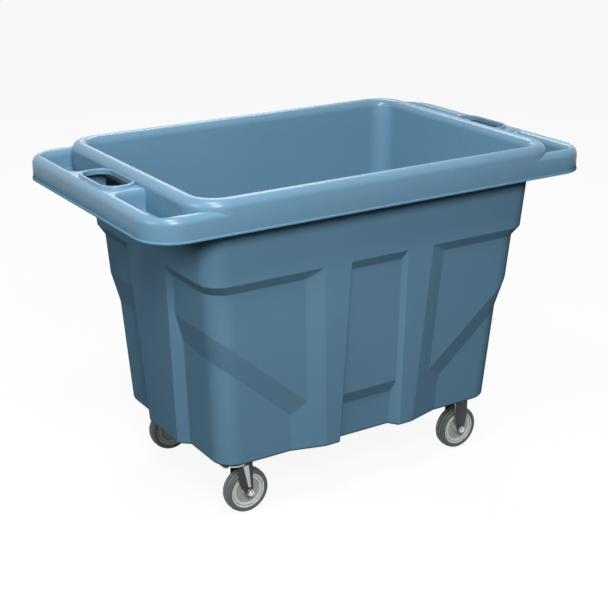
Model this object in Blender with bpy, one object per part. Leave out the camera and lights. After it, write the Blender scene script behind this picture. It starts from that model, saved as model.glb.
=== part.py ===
"""Bulk cube cart: a moulded tub with a rolled rim and a hand hold at each end, on four plate casters.

Metres, +Z up. The origin is on the floor under the middle of the tub, +X runs along the tub towards the
rigid casters, and the swivel casters are at -X.
"""
import math

import bmesh
import bpy
from mathutils import Matrix, Vector

# Gaps between pieces
SEAT_GAP = 0.0003
HUB_END_GAP = 0.0006

# Wheel
WHEEL_RADIUS = 0.050
TREAD_WIDTH = 0.028
TREAD_CROWN_WIDTH = 0.014
SHOULDER_RADIUS = 0.0455
SHOULDER_DROP = 0.0012
SHOULDER_IN = 0.003
CORE_RADIUS = 0.0394
CORE_RIM_WIDTH = 0.025
CORE_GROOVE_RADIUS = 0.0345
CORE_GROOVE_DEPTH = 0.0022
CORE_WEB_RADIUS = 0.0290
CORE_WEB_WIDTH = 0.018
HUB_RADIUS = 0.0125
HUB_WIDTH = 0.033
HUB_FILLET = 0.002

# Axle, shared by both kinds of caster
AXLE_RADIUS = 0.004
SLEEVE_WALL = 0.0018
AXLE_HEAD_FLATS = 0.013
AXLE_HEAD_HEIGHT = 0.0053
AXLE_NUT_HEIGHT = 0.0065
AXLE_END = 0.002

# Fork
FORK_STEEL = 0.0025
LEG_END_RADIUS = 0.0095
LEG_TAPER_HEIGHT = 0.032
SWIVEL_TRAIL = 0.026
SWIVEL_LEG_REACH = 0.008
SWIVEL_LEG_BACK = 0.001
RIGID_LEG_HALF = 0.0175
RIB_HEIGHT = 0.0012
RIB_TOP_WIDTH = 0.013
RIB_FOOT_WIDTH = 0.006
RIB_CHAMFER = 0.001
RIB_ABOVE_AXLE = 0.0115
RIB_BELOW_CROWN = 0.004
CROWN_RADIUS = 0.0255
CROWN_THICKNESS = 0.003
CROWN_CLEARANCE = 0.019

# Swivel bearing and king pin
BALL_RADIUS = 0.0028
BALL_TRACK_RADIUS = 0.018
BALL_SIDES = 6
RACE_HEIGHT = 0.003
RACE_WIDTH = 0.012
KING_PIN_RADIUS = 0.005
KING_PIN_HEAD_RADIUS = 0.0085
KING_PIN_HEAD_HEIGHT = 0.003
KING_PIN_RECESS = 0.002

# Caster plates and their fixing
PLATE_LENGTH = 0.085
PLATE_WIDTH = 0.064
PLATE_THICKNESS = 0.004
PLATE_CORNER_RADIUS = 0.008
BOLT_SPACING_X = 0.062
BOLT_SPACING_Y = 0.042
BOLT_RADIUS = 0.004
BOLT_HEAD_FLATS = 0.013
BOLT_HEAD_HEIGHT = 0.0053
BOLT_END = 0.003
NUT_PLATE_THICKNESS = 0.003
NUT_PLATE_MARGIN = 0.0065
WELD_NUT_HEIGHT = 0.0065
CASTER_SET_IN_X = 0.0055
CASTER_SET_IN_Y = 0.0135

# Tub, its heights measured from its underside
WALL = 0.005
FLOOR_THICKNESS = 0.007
TUB_BOTTOM_LENGTH = 0.742
TUB_BOTTOM_WIDTH = 0.496
DRAFT_ANGLE = math.radians(3.5)
TUB_HEIGHT = 0.5965
CORNER_RADIUS = 0.045
BOTTOM_ROUND = 0.006

# Recesses in the tub's sides
BELT_HEIGHT = 0.412
BELT_BEVEL_HEIGHT = 0.021
RECESS_DEPTH = 0.011
LOWER_RECESS_DEPTH = 0.021
SIDE_PILLAR_BOTTOM = 0.1125
SIDE_PILLAR_TOP = 0.1356
SIDE_PILLAR_RUN = 3.6
END_PILLAR_BOTTOM = 0.066
END_PILLAR_TOP = 0.088
END_PILLAR_RUN = 0.85
STEP_AT_PILLAR = 0.1155
STEP_AT_END = 0.3045
STEP_BAND_HEIGHT = 0.058
PANEL_BOTTOM = 0.0785
PANEL_TOP = 0.0700
PANEL_RUN = 1.7
PANEL_DEPTH = 0.006
LOWER_PANEL_DEPTH = 0.012
PANEL_BEVEL_HEIGHT = 0.018
PANEL_STEP = 0.114
PANEL_STEP_BAND = 0.029

# Rim, skirt and end handles
RIM_BEAD_RADIUS = 0.018
SKIRT_DEPTH = 0.068
SKIRT_CORNER_RADIUS = 0.075
SKIRT_LIP_HEIGHT = 0.0035
SKIRT_LIP_OUT = 0.0015
CART_LENGTH = 1.060
HANDLE_DROP = 0.019
HANDLE_BEAD_RADIUS = 0.016
PLATFORM_HALF = 0.099
PLATFORM_EDGE_RADIUS = 0.006
POCKET_DEPTH = 0.0435
POCKET_CORNER_RADIUS = 0.012
HAND_HOLE_TO_RIM = 0.0026
HAND_HOLE_LENGTH = 0.137
HAND_HOLE_CORNER_RADIUS = 0.028
GRIP_BAR = 0.027
HAND_HOLE_FLANGE = 0.030
HAND_HOLE_WALL = 0.004
LIP_HEIGHT = 0.0055
LIP_WIDTH = 0.007
LIP_ROUND = 0.002

# Where the one moulding is cut into solids that each keep to their own wall
TUB_BASE_HEIGHT = 0.010
WALL_CUT_IN = 0.071
RIM_CUT_IN = 0.006
PLAIN_FLOOR_SET_IN = 0.008

# How finely the round parts are divided
CORNER_STEPS = 6
BEAD_STEPS = 4
HOLE_STEPS = 4
WHEEL_SEGMENTS = 20
PIN_SEGMENTS = 12
BOLT_SEGMENTS = 8
CUT_PAST = 0.01

QUARTERS = ((-1, -1), (-1, 1), (1, -1), (1, 1))

# Heights that follow from the wheel and the bearing
crown_bottom = 2 * WHEEL_RADIUS + CROWN_CLEARANCE
crown_top = crown_bottom + CROWN_THICKNESS
race_bottom = crown_top + 2 * BALL_RADIUS + 2 * SEAT_GAP
plate_bottom = race_bottom + RACE_HEIGHT
plate_top = plate_bottom + PLATE_THICKNESS
tub_bottom = plate_top + SEAT_GAP
leg_inner = HUB_WIDTH / 2 + HUB_END_GAP
leg_outer = leg_inner + FORK_STEEL

# Places of the casters, whose nut plates lie a little in from the rounded foot of the walls
foot_inset = LOWER_RECESS_DEPTH + WALL + BOTTOM_ROUND
nut_plate_length = BOLT_SPACING_X + 2 * NUT_PLATE_MARGIN
nut_plate_width = BOLT_SPACING_Y + 2 * NUT_PLATE_MARGIN
caster_x = TUB_BOTTOM_LENGTH / 2 - foot_inset - CASTER_SET_IN_X - nut_plate_length / 2
caster_y = TUB_BOTTOM_WIDTH / 2 - foot_inset - CASTER_SET_IN_Y - nut_plate_width / 2

# Places on the rim that follow from the tub
draft = math.tan(DRAFT_ANGLE)
bead_spring = TUB_HEIGHT - RIM_BEAD_RADIUS
rim_half_x = TUB_BOTTOM_LENGTH / 2 + draft * bead_spring - WALL + 2 * RIM_BEAD_RADIUS
rim_half_y = TUB_BOTTOM_WIDTH / 2 + draft * bead_spring - WALL + 2 * RIM_BEAD_RADIUS
rim_corner_radius = CORNER_RADIUS - WALL + 2 * RIM_BEAD_RADIUS
handle_top = TUB_HEIGHT - HANDLE_DROP
handle_spring = handle_top - HANDLE_BEAD_RADIUS
skirt_bottom = TUB_HEIGHT - SKIRT_DEPTH
skirt_half_x = CART_LENGTH / 2 - SKIRT_LIP_OUT
pocket_floor = handle_top - POCKET_DEPTH
hand_hole_outer = CART_LENGTH / 2 - GRIP_BAR
hand_hole_width = hand_hole_outer - rim_half_x - HAND_HOLE_TO_RIM
hand_hole_x = hand_hole_outer - hand_hole_width / 2
hand_hole_corner = min(HAND_HOLE_CORNER_RADIUS, hand_hole_width * 0.45)


def clear_scene():
    for old in list(bpy.data.objects):
        bpy.data.objects.remove(old, do_unlink=True)


def material(name, colour, roughness, metallic):
    found = bpy.data.materials.get(name)
    if found:
        return found
    made = bpy.data.materials.new(name)
    made.use_nodes = True
    shader = made.node_tree.nodes["Principled BSDF"]
    shader.inputs["Base Color"].default_value = (*colour, 1)
    shader.inputs["Roughness"].default_value = roughness
    shader.inputs["Metallic"].default_value = metallic
    made.diffuse_color = (*colour, 1)
    return made


def moulded_blue():
    return material("moulded_blue", (0.095, 0.18, 0.27), 0.35, 0.0)


def zinc_plate():
    return material("zinc_plate", (0.55, 0.56, 0.57), 0.35, 1.0)


def grey_rubber():
    return material("grey_rubber", (0.10, 0.105, 0.105), 0.75, 0.0)


def wheel_grey():
    return material("wheel_grey", (0.55, 0.57, 0.55), 0.45, 0.0)


def object_from(name, bm, finish):
    """One object from a bmesh, its normals made to point out."""
    bmesh.ops.recalc_face_normals(bm, faces=bm.faces)
    mesh = bpy.data.meshes.new(name)
    bm.to_mesh(mesh)
    bm.free()
    made = bpy.data.objects.new(name, mesh)
    bpy.context.scene.collection.objects.link(made)
    if finish:
        mesh.materials.append(finish)
    return made


def loft(name, loops, finish=None, closed=False):
    """A solid through loops of equal point counts, with flat ends, or a ring when closed."""
    bm = bmesh.new()
    rows = [[bm.verts.new(point) for point in loop] for loop in loops]
    pairs = list(zip(rows, rows[1:]))
    if closed:
        pairs.append((rows[-1], rows[0]))
    else:
        bm.faces.new(list(reversed(rows[0])))
        bm.faces.new(rows[-1])
    for low, high in pairs:
        count = len(low)
        for i in range(count):
            j = (i + 1) % count
            bm.faces.new((low[i], low[j], high[j], high[i]))
    return object_from(name, bm, finish)


def rounded_rectangle(x0, x1, y0, y1, radius, z, steps=CORNER_STEPS):
    """Points of a rounded rectangle, anticlockwise from above."""
    corners = ((x1, y1, 0), (x0, y1, 90), (x0, y0, 180), (x1, y0, 270))
    points = []
    for x, y, start in corners:
        centre_x = x - radius if x == x1 else x + radius
        centre_y = y - radius if y == y1 else y + radius
        for k in range(steps + 1):
            turn = math.radians(start + 90 * k / steps)
            points.append((centre_x + radius * math.cos(turn), centre_y + radius * math.sin(turn), z))
    return points


def centred_rectangle(half_x, half_y, radius, z, steps=CORNER_STEPS):
    return rounded_rectangle(-half_x, half_x, -half_y, half_y, radius, z, steps)


def quarter_arc(radius, steps=BEAD_STEPS):
    """(inwards, upwards) steps of a quarter round that starts upright and ends level."""
    turns = [math.radians(90 * k / steps) for k in range(1, steps + 1)]
    return [(radius * (1 - math.cos(t)), radius * math.sin(t)) for t in turns]


def lathe(name, profile, finish, segments, axis="Z", centre=(0, 0, 0), flats=False):
    """A turned solid. The profile is closed, of (radius, along) points, and may touch the axis at its ends.

    With flats, the radii are measured to the middle of the flat sides and not to their corners.
    """
    bm = bmesh.new()
    spread = 1 / math.cos(math.pi / segments) if flats else 1
    rings = []
    for radius, along in profile:
        if radius == 0:
            rings.append([bm.verts.new((0, 0, along))])
            continue
        ring = []
        for k in range(segments):
            turn = 2 * math.pi * (k + 0.5) / segments
            out = radius * spread
            ring.append(bm.verts.new((out * math.cos(turn), out * math.sin(turn), along)))
        rings.append(ring)
    touches_axis = profile[0][0] == 0
    last = len(rings) - 1 if touches_axis else len(rings)
    for n in range(last):
        a, b = rings[n], rings[(n + 1) % len(rings)]
        for k in range(segments):
            j = (k + 1) % segments
            corners = (a[k % len(a)], a[j % len(a)], b[j % len(b)], b[k % len(b)])
            bm.faces.new(list(dict.fromkeys(corners)))
    if axis == "Y":
        upright = Matrix.Rotation(math.radians(-90), 3, "X")
        bmesh.ops.rotate(bm, verts=bm.verts, cent=(0, 0, 0), matrix=upright)
    bmesh.ops.translate(bm, verts=bm.verts, vec=centre)
    made = object_from(name, bm, finish)
    made.data.shade_smooth()
    made.data.set_sharp_from_angle(angle=math.radians(35))
    return made


def prism(name, outline, low, high, finish=None, axis="Z", centre=(0, 0, 0)):
    """An outline of (a, b) points drawn out from low to high along the axis: (x, y) for Z, (x, z) for Y."""
    if axis == "Z":
        loops = [[(a, b, level) for a, b in outline] for level in (low, high)]
    else:
        loops = [[(a, level, b) for a, b in outline] for level in (low, high)]
    made = loft(name, loops, finish)
    made.data.transform(Matrix.Translation(centre))
    return made


def circle(radius, segments, centre=(0, 0), start=0.5):
    turns = [2 * math.pi * (k + start) / segments for k in range(segments)]
    return [(centre[0] + radius * math.cos(t), centre[1] + radius * math.sin(t)) for t in turns]


def hexagon(across_flats):
    return circle(across_flats / math.sqrt(3), 6, start=0)


def combine(target, other, operation):
    """Joins or cuts one object with another for good, and removes the other."""
    step = target.modifiers.new(operation.lower(), "BOOLEAN")
    step.operation = operation
    step.solver = "EXACT"
    step.object = other
    bpy.context.view_layer.update()
    graph = bpy.context.evaluated_depsgraph_get()
    result = bpy.data.meshes.new_from_object(target.evaluated_get(graph))
    target.modifiers.clear()
    old = target.data
    target.data = result
    result.name = target.name
    bpy.data.meshes.remove(old)
    bpy.data.objects.remove(other, do_unlink=True)
    return target


def unite(target, *others):
    for other in others:
        combine(target, other, "UNION")
    return target


def cut(target, *others):
    for other in others:
        combine(target, other, "DIFFERENCE")
    return target


def join_coplanar(target):
    """Merges the flat faces that Booleans leave split."""
    bm = bmesh.new()
    bm.from_mesh(target.data)
    bmesh.ops.remove_doubles(bm, verts=bm.verts, dist=1e-6)
    bmesh.ops.dissolve_limit(bm, angle_limit=math.radians(0.05), verts=bm.verts, edges=bm.edges)
    bm.to_mesh(target.data)
    bm.free()


# Tub sides

def half_x(height, inset):
    return TUB_BOTTOM_LENGTH / 2 + draft * height - inset


def half_y(height, inset):
    return TUB_BOTTOM_WIDTH / 2 + draft * height - inset


def between(low, high, height):
    """A width that changes evenly from the underside to the belt."""
    return low + (high - low) * height / BELT_HEIGHT


def step_height(x):
    """Upper edge of the slanting step at a distance x from the middle of the long side."""
    corner = half_x(STEP_AT_END, RECESS_DEPTH)
    start = between(SIDE_PILLAR_BOTTOM, SIDE_PILLAR_TOP, STEP_AT_PILLAR) + SIDE_PILLAR_RUN * RECESS_DEPTH
    slope = (STEP_AT_END - STEP_AT_PILLAR) / (corner - start)
    return STEP_AT_END - slope * max(0.0, corner - x)


def bottom_rows(inset, wall):
    """(height, inset) of the rounded bottom edge."""
    floor = FLOOR_THICKNESS if wall else 0.0
    rows = [(floor, inset + BOTTOM_ROUND)]
    for inwards, upwards in quarter_arc(BOTTOM_ROUND, 2):
        rows.append((floor + BOTTOM_ROUND - (BOTTOM_ROUND - inwards), inset + BOTTOM_ROUND - upwards))
    return rows


def face_column(outer, run, wall, shift, levels):
    """One line up the side as (along, height, inset) rows. A deeper row lies further along."""
    deep, shallow, lower_step, upper_step, bevel_low, belt = levels
    rows = [(outer(z) + run * deep + shift, z, inset) for z, inset in bottom_rows(deep + wall, wall)]
    rows.append((outer(lower_step) + run * deep + shift, lower_step, deep + wall))
    rows.append((outer(upper_step) + run * shallow + shift, upper_step, shallow + wall))
    rows.append((outer(bevel_low) + run * shallow + shift, bevel_low, shallow + wall))
    rows.append((outer(bevel_low) + run * shallow + shift if shallow else outer(belt) + shift, belt, wall))
    return rows


def side_form(name, wall, top_rows):
    """The tub's sides as one solid: the outside for a wall of 0, or the space inside for the wall's own size.

    Rows run from the bottom up, and columns run round the tub: each column follows an edge of a recess.
    """
    panel_angle = math.atan(1 / PANEL_RUN)
    side_angle = math.atan(1 / SIDE_PILLAR_RUN)
    end_angle = math.atan(1 / END_PILLAR_RUN)
    bevel_angle = math.atan(RECESS_DEPTH / BELT_BEVEL_HEIGHT)
    lift = wall * math.tan(bevel_angle / 2)
    bevel_low = BELT_HEIGHT - BELT_BEVEL_HEIGHT + lift
    belt = BELT_HEIGHT + lift

    def panel_edge(z):
        return between(PANEL_BOTTOM, PANEL_TOP, z)

    def side_edge(z):
        return between(SIDE_PILLAR_BOTTOM, SIDE_PILLAR_TOP, z)

    def end_edge(z):
        return between(END_PILLAR_BOTTOM, END_PILLAR_TOP, z)

    panel_levels = (PANEL_STEP - PANEL_STEP_BAND, PANEL_STEP, BELT_HEIGHT - PANEL_BEVEL_HEIGHT + lift, belt)
    run_on = side_edge(STEP_AT_PILLAR) + SIDE_PILLAR_RUN * LOWER_RECESS_DEPTH
    side_levels = (step_height(run_on) - STEP_BAND_HEIGHT, STEP_AT_PILLAR, bevel_low, belt)
    end_levels = (STEP_AT_END - STEP_BAND_HEIGHT, STEP_AT_END, bevel_low, belt)
    panel_shift = wall * math.tan(panel_angle / 2)
    side_shift = -wall * math.tan(side_angle / 2)
    end_shift = -wall * math.tan(end_angle / 2)

    recess = (LOWER_RECESS_DEPTH, RECESS_DEPTH)
    panel_recess = (LOWER_PANEL_DEPTH, PANEL_DEPTH)
    long_side = [
        face_column(panel_edge, -PANEL_RUN, wall, panel_shift, (*panel_recess, *panel_levels)),
        face_column(panel_edge, 0, wall, panel_shift, (0, 0, *panel_levels)),
        face_column(side_edge, 0, wall, side_shift, (0, 0, *side_levels)),
        face_column(side_edge, SIDE_PILLAR_RUN, wall, side_shift, (*recess, *side_levels)),
    ]
    end_side = [
        face_column(end_edge, END_PILLAR_RUN, wall, end_shift, (*recess, *end_levels)),
        face_column(end_edge, 0, wall, end_shift, (0, 0, *end_levels)),
    ]
    radius = CORNER_RADIUS - wall
    columns = []
    for rows in long_side:
        points = [(x, -half_y(z, inset), z) for x, z, inset in rows]
        along = rows[-1][0]
        points += [(along, -half_y(z, inset), z) for z, inset in top_rows]
        columns.append(points)
    for k in range(CORNER_STEPS + 1):
        turn = math.radians(-90 + 90 * k / CORNER_STEPS)

        def corner(z, inset, corner_radius):
            return (
                half_x(z, inset) - corner_radius + corner_radius * math.cos(turn),
                -half_y(z, inset) + corner_radius + corner_radius * math.sin(turn),
                z,
            )

        deep, shallow = LOWER_RECESS_DEPTH + wall, RECESS_DEPTH + wall
        points = [corner(z, inset, radius) for z, inset in bottom_rows(deep, wall)]
        low_x = corner(STEP_AT_END, deep, radius)[0]
        high_x = corner(STEP_AT_END, shallow, radius)[0]
        points.append(corner(step_height(low_x) - STEP_BAND_HEIGHT, deep, radius))
        points.append(corner(step_height(high_x), shallow, radius))
        points.append(corner(bevel_low, shallow, radius))
        points.append(corner(belt, wall, radius))
        points += [corner(z, inset, radius + wall - inset) for z, inset in top_rows]
        columns.append(points)
    for rows in end_side:
        points = [(half_x(z, inset), -y, z) for y, z, inset in rows]
        along = rows[-1][0]
        points += [(half_x(z, inset), -along, z) for z, inset in top_rows]
        columns.append(points)

    quarters = [
        columns,
        [[(x, -y, z) for x, y, z in column] for column in reversed(columns)],
        [[(-x, -y, z) for x, y, z in column] for column in columns],
        [[(-x, y, z) for x, y, z in column] for column in reversed(columns)],
    ]
    ring = [column for quarter in quarters for column in quarter]
    bm = bmesh.new()
    grid = [[bm.verts.new(Vector(point) + Vector((0, 0, tub_bottom))) for point in column] for column in ring]
    rows_below_bevel = 6
    per_quarter = len(columns)
    for i, column in enumerate(grid):
        following = grid[(i + 1) % len(grid)]
        place = i % per_quarter
        if (i // per_quarter) % 2:
            place = per_quarter - 2 - place
        outer_is_next = place in (0, per_quarter - 2)
        outer_is_first = place == 2
        if (i // per_quarter) % 2:
            outer_is_next, outer_is_first = outer_is_first, outer_is_next
        for j in range(len(column) - 1):
            a, b, c, d = column[j], following[j], following[j + 1], column[j + 1]
            mitre = j == rows_below_bevel - 1
            if mitre and outer_is_next:
                bm.faces.new((a, b, c))
                bm.faces.new((a, c, d))
            elif mitre and outer_is_first:
                bm.faces.new((a, b, d))
                bm.faces.new((b, c, d))
            else:
                bm.faces.new((a, b, c, d))
    bm.faces.new([column[0] for column in reversed(grid)])
    bm.faces.new([column[-1] for column in grid])
    return object_from(name, bm, None)


def tub_outside():
    """The sides up into the rim, flaring under the rolled bead so that the wall stays even."""
    under_bead = RIM_BEAD_RADIUS - WALL
    rows = [(bead_spring, 0.0)]
    rows += [(bead_spring + up, -inwards) for inwards, up in quarter_arc(under_bead)]
    rows.append((TUB_HEIGHT - WALL / 2, -under_bead))
    return side_form("tub", 0.0, level_insets(rows))


def tub_inside():
    rows = [(bead_spring, WALL)]
    rows += [(bead_spring + up, WALL - inwards) for inwards, up in quarter_arc(RIM_BEAD_RADIUS)]
    rows.append((TUB_HEIGHT + CUT_PAST, WALL - RIM_BEAD_RADIUS))
    return side_form("tub_space", WALL, level_insets(rows))


def level_insets(rows):
    """Above the spring of the bead the sides stop leaning, so the draft there is taken out of the inset."""
    return [(z, inset + draft * (z - bead_spring)) for z, inset in rows]


def capped_block(name, x, y, radius, low, spring, bead, lip=0.0):
    """A rounded block with a quarter round along its top edge and, if asked, a lip along its bottom edge."""
    loops = []
    if lip:
        loops.append(centred_rectangle(x + lip, y + lip, radius + lip, low))
        loops.append(centred_rectangle(x + lip, y + lip, radius + lip, low + SKIRT_LIP_HEIGHT - lip / 2))
        loops.append(centred_rectangle(x, y, radius, low + SKIRT_LIP_HEIGHT + lip / 2))
    else:
        loops.append(centred_rectangle(x, y, radius, low))
    loops.append(centred_rectangle(x, y, radius, spring))
    for inwards, up in quarter_arc(bead):
        loops.append(centred_rectangle(x - inwards, y - inwards, radius - inwards, spring + up))
    made = loft(name, loops)
    made.data.transform(Matrix.Translation((0, 0, tub_bottom)))
    return made


def pocket_form(name, side_x, side_y, wall, bottom, top):
    """The space of one handle pocket, or with a wall the block round it. It flares up into the beads."""
    bead = HANDLE_BEAD_RADIUS - wall
    edge = max(PLATFORM_EDGE_RADIUS - wall, 0.001)
    outer_x = skirt_half_x - 2 * HANDLE_BEAD_RADIUS + wall
    outer_y = rim_half_y - 2 * HANDLE_BEAD_RADIUS + wall
    inner_y = PLATFORM_HALF - wall
    inner_x = rim_half_x - rim_corner_radius
    radius = POCKET_CORNER_RADIUS + wall
    rows = [(bottom, 0.0), (min(top, handle_spring), 0.0)]
    if top > handle_spring:
        rows += [(handle_spring + up, inwards) for inwards, up in quarter_arc(bead)]
        rows.append((top, bead))
    loops = []
    for z, flare in rows:
        near = inner_y - flare * edge / bead
        box = (inner_x, outer_x + flare, near, outer_y + flare)
        loops.append(rounded_rectangle(*box, radius + flare, z, HOLE_STEPS))
    made = loft(name, loops)
    made.data.transform(Matrix.Diagonal((side_x, side_y, 1, 1)) @ Matrix.Translation((0, 0, tub_bottom)))
    if side_x * side_y < 0:
        made.data.flip_normals()
    return made


def hole_block(name, side, grow, rows):
    """A rounded block round a hand hole, of (grow, height) rows."""
    loops = []
    for extra, z in rows:
        wide, long = hand_hole_width / 2 + grow + extra, HAND_HOLE_LENGTH / 2 + grow + extra
        x = side * hand_hole_x
        radius = hand_hole_corner + grow + extra
        loops.append(rounded_rectangle(x - wide, x + wide, -long, long, radius, z + tub_bottom, HOLE_STEPS))
    return loft(name, loops)


def bolt_places(centre_x, centre_y):
    for sx in (-1, 1):
        for sy in (-1, 1):
            yield centre_x + sx * BOLT_SPACING_X / 2, centre_y + sy * BOLT_SPACING_Y / 2


def caster_places():
    """(name, x, side along Y, whether it swivels) of the four casters."""
    return (
        ("left_front", -caster_x, -1, True),
        ("left_back", -caster_x, 1, True),
        ("right_front", caster_x, -1, False),
        ("right_back", caster_x, 1, False),
    )


def rim_plan(name, grow, low, high):
    """A plain block with the main rim's outline, grown by a distance."""
    return loft(name, [
        centred_rectangle(rim_half_x + grow, rim_half_y + grow, rim_corner_radius + grow, z + tub_bottom)
        for z in (low, high)
    ])


def solid_rim():
    """The main rim and the lower handle loop as one block, with the blocks that the pockets are cut into."""
    tub = capped_block("tub", rim_half_x, rim_half_y, rim_corner_radius, skirt_bottom + 2 * SKIRT_LIP_HEIGHT,
                       bead_spring, RIM_BEAD_RADIUS)
    handles = capped_block("handles", skirt_half_x, rim_half_y, SKIRT_CORNER_RADIUS, skirt_bottom,
                           handle_spring, HANDLE_BEAD_RADIUS, SKIRT_LIP_OUT)
    unite(tub, handles)
    for sx, sy in QUARTERS:
        unite(tub, pocket_form("pocket_block", sx, sy, WALL, pocket_floor - WALL, handle_spring))
    return tub


def space_under_rim():
    """What is hollow under the rim: all but a wall's thickness, the pockets and their walls."""
    low = skirt_bottom - CUT_PAST
    under = capped_block("under_handles", skirt_half_x - WALL, rim_half_y - WALL, SKIRT_CORNER_RADIUS - WALL,
                         low, handle_spring, HANDLE_BEAD_RADIUS - WALL)
    for sx, sy in QUARTERS:
        cut(under, pocket_form("pocket_guard", sx, sy, WALL, low - WALL, TUB_HEIGHT))
    under_rim = capped_block("under_rim", rim_half_x - WALL, rim_half_y - WALL, rim_corner_radius - WALL,
                             low, bead_spring, RIM_BEAD_RADIUS - WALL)
    return unite(under, under_rim)


def hand_hole_collar(side):
    """The wall round a hand hole under the handle, and the raised lip above it."""
    lip_top = handle_top + LIP_HEIGHT
    inside = handle_top - WALL / 2
    third = LIP_ROUND / 3
    flange = hole_block("flange", side, HAND_HOLE_WALL, [(0, lip_top - HAND_HOLE_FLANGE), (0, handle_top)])
    lip_rows = [(0, inside), (0, lip_top - LIP_ROUND), (-third, lip_top - third), (-LIP_ROUND, lip_top)]
    return unite(flange, hole_block("lip", side, LIP_WIDTH, lip_rows))


def moulding():
    """The whole tub as one solid."""
    tub = solid_rim()
    cut(tub, space_under_rim())
    unite(tub, tub_outside(), hand_hole_collar(-1), hand_hole_collar(1))
    cut(tub, tub_inside())
    top = TUB_HEIGHT + CUT_PAST
    for sx, sy in QUARTERS:
        pocket = pocket_form("pocket", sx, sy, 0.0, pocket_floor, top)
        cut(tub, cut(pocket, rim_plan("main_rim", 0.0, pocket_floor - CUT_PAST, top + CUT_PAST)))
    for side in (-1, 1):
        cut(tub, hole_block("hole", side, 0, [(0, skirt_bottom - CUT_PAST), (0, top)]))
    return tub


def within(source, name, low, high):
    """A copy of what lies between two corners of a box."""
    made = bpy.data.objects.new(name, source.data.copy())
    bpy.context.scene.collection.objects.link(made)
    outline = [(low[0], low[1]), (high[0], low[1]), (high[0], high[1]), (low[0], high[1])]
    return combine(made, prism("box", outline, low[2], high[2]), "INTERSECT")


def drill_floor(base):
    for label, x, side, swivels in caster_places():
        for bolt_x, bolt_y in bolt_places(x, side * caster_y):
            drill(base, bolt_x, bolt_y, BOLT_RADIUS + SEAT_GAP,
                  tub_bottom - CUT_PAST, tub_bottom + FLOOR_THICKNESS + CUT_PAST)


def part_floor(base):
    """Edges across the floor beside the casters, so that the plain middle of the floor is a face of its own."""
    middle = caster_x - PLATE_LENGTH / 2 - PLAIN_FLOOR_SET_IN
    bm = bmesh.new()
    bm.from_mesh(base.data)
    for x in (-middle, middle):
        bmesh.ops.bisect_plane(bm, geom=bm.verts[:] + bm.edges[:] + bm.faces[:], dist=1e-6,
                               plane_co=(x, 0, 0), plane_no=(1, 0, 0))
    bm.to_mesh(base.data)
    bm.free()


def make_tub():
    """The moulding in nine solids, a seat gap apart: its base, four walls, two long rims and two handles.

    The walls meet the rims and handles along the crown of the rolled bead.
    """
    whole = moulding()
    far, gap = CART_LENGTH, SEAT_GAP
    walls = bpy.data.objects.new("tub_walls", whole.data.copy())
    bpy.context.scene.collection.objects.link(walls)
    combine(walls, rim_plan("inside_crown", -RIM_BEAD_RADIUS, -CUT_PAST, TUB_HEIGHT + CUT_PAST), "INTERSECT")
    rims = cut(whole, rim_plan("outside_crown", gap - RIM_BEAD_RADIUS, -CUT_PAST, TUB_HEIGHT + CUT_PAST))

    base_top = tub_bottom + TUB_BASE_HEIGHT
    wall_end = TUB_BOTTOM_LENGTH / 2 - WALL_CUT_IN
    rim_end = rim_half_x - rim_corner_radius - RIM_CUT_IN
    upper, top = base_top + gap, tub_bottom + TUB_HEIGHT + CUT_PAST
    parts = [
        within(walls, "tub_base", (-far, -far, 0), (far, far, base_top)),
        within(walls, "tub_front_wall", (-wall_end, -far, upper), (wall_end, 0, top)),
        within(walls, "tub_back_wall", (-wall_end, 0, upper), (wall_end, far, top)),
        within(walls, "tub_left_wall", (-far, -far, upper), (-wall_end - gap, far, top)),
        within(walls, "tub_right_wall", (wall_end + gap, -far, upper), (far, far, top)),
        within(rims, "front_rim", (-rim_end, -far, upper), (rim_end, 0, top)),
        within(rims, "back_rim", (-rim_end, 0, upper), (rim_end, far, top)),
        within(rims, "left_handle", (-far, -far, upper), (-rim_end - gap, far, top)),
        within(rims, "right_handle", (rim_end + gap, -far, upper), (far, far, top)),
    ]
    for cut_up in (walls, rims):
        bpy.data.objects.remove(cut_up, do_unlink=True)
    drill_floor(parts[0])
    for made in parts:
        join_coplanar(made)
        made.data.materials.clear()
        made.data.materials.append(moulded_blue())
        made.data.shade_smooth()
        made.data.set_sharp_from_angle(angle=math.radians(25))
    part_floor(parts[0])
    return parts


# Casters

def plate_outline(length=PLATE_LENGTH, width=PLATE_WIDTH, radius=PLATE_CORNER_RADIUS):
    return [(x, y) for x, y, z in centred_rectangle(length / 2, width / 2, radius, 0, 2)]


def drill(target, x, y, radius, low, high, segments=BOLT_SEGMENTS):
    cut(target, prism("drill", circle(radius, segments), low, high, centre=(x, y, 0)))


def leg_outline(top, left, right, axle_x):
    """(x, z) outline of a fork leg that narrows to a round end at the axle."""
    end = [(axle_x + LEG_END_RADIUS * math.cos(t), WHEEL_RADIUS + LEG_END_RADIUS * math.sin(t))
           for t in (math.radians(-160 + 140 * k / 4) for k in range(5))]
    taper = WHEEL_RADIUS + LEG_TAPER_HEIGHT
    return [(left, top), (left, taper)] + end + [(right, taper), (right, top)]


def leg_rib(side, left, right, axle_x):
    """The pressed rib that stands out of a leg and narrows towards the axle."""
    middle = (left + right) / 2
    low, high = WHEEL_RADIUS + RIB_ABOVE_AXLE, crown_bottom - RIB_BELOW_CROWN
    loops = []
    for set_in, y in ((0, leg_outer - FORK_STEEL / 2), (0, leg_outer), (RIB_CHAMFER, leg_outer + RIB_HEIGHT)):
        foot, head = RIB_FOOT_WIDTH / 2 - set_in, RIB_TOP_WIDTH / 2 - set_in
        outline = ((axle_x - foot, low + set_in), (axle_x + foot, low + set_in),
                   (middle + head, high - set_in), (middle - head, high - set_in))
        loops.append([(x, side * y, z) for x, z in outline])
    return loft("rib", loops)


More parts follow.
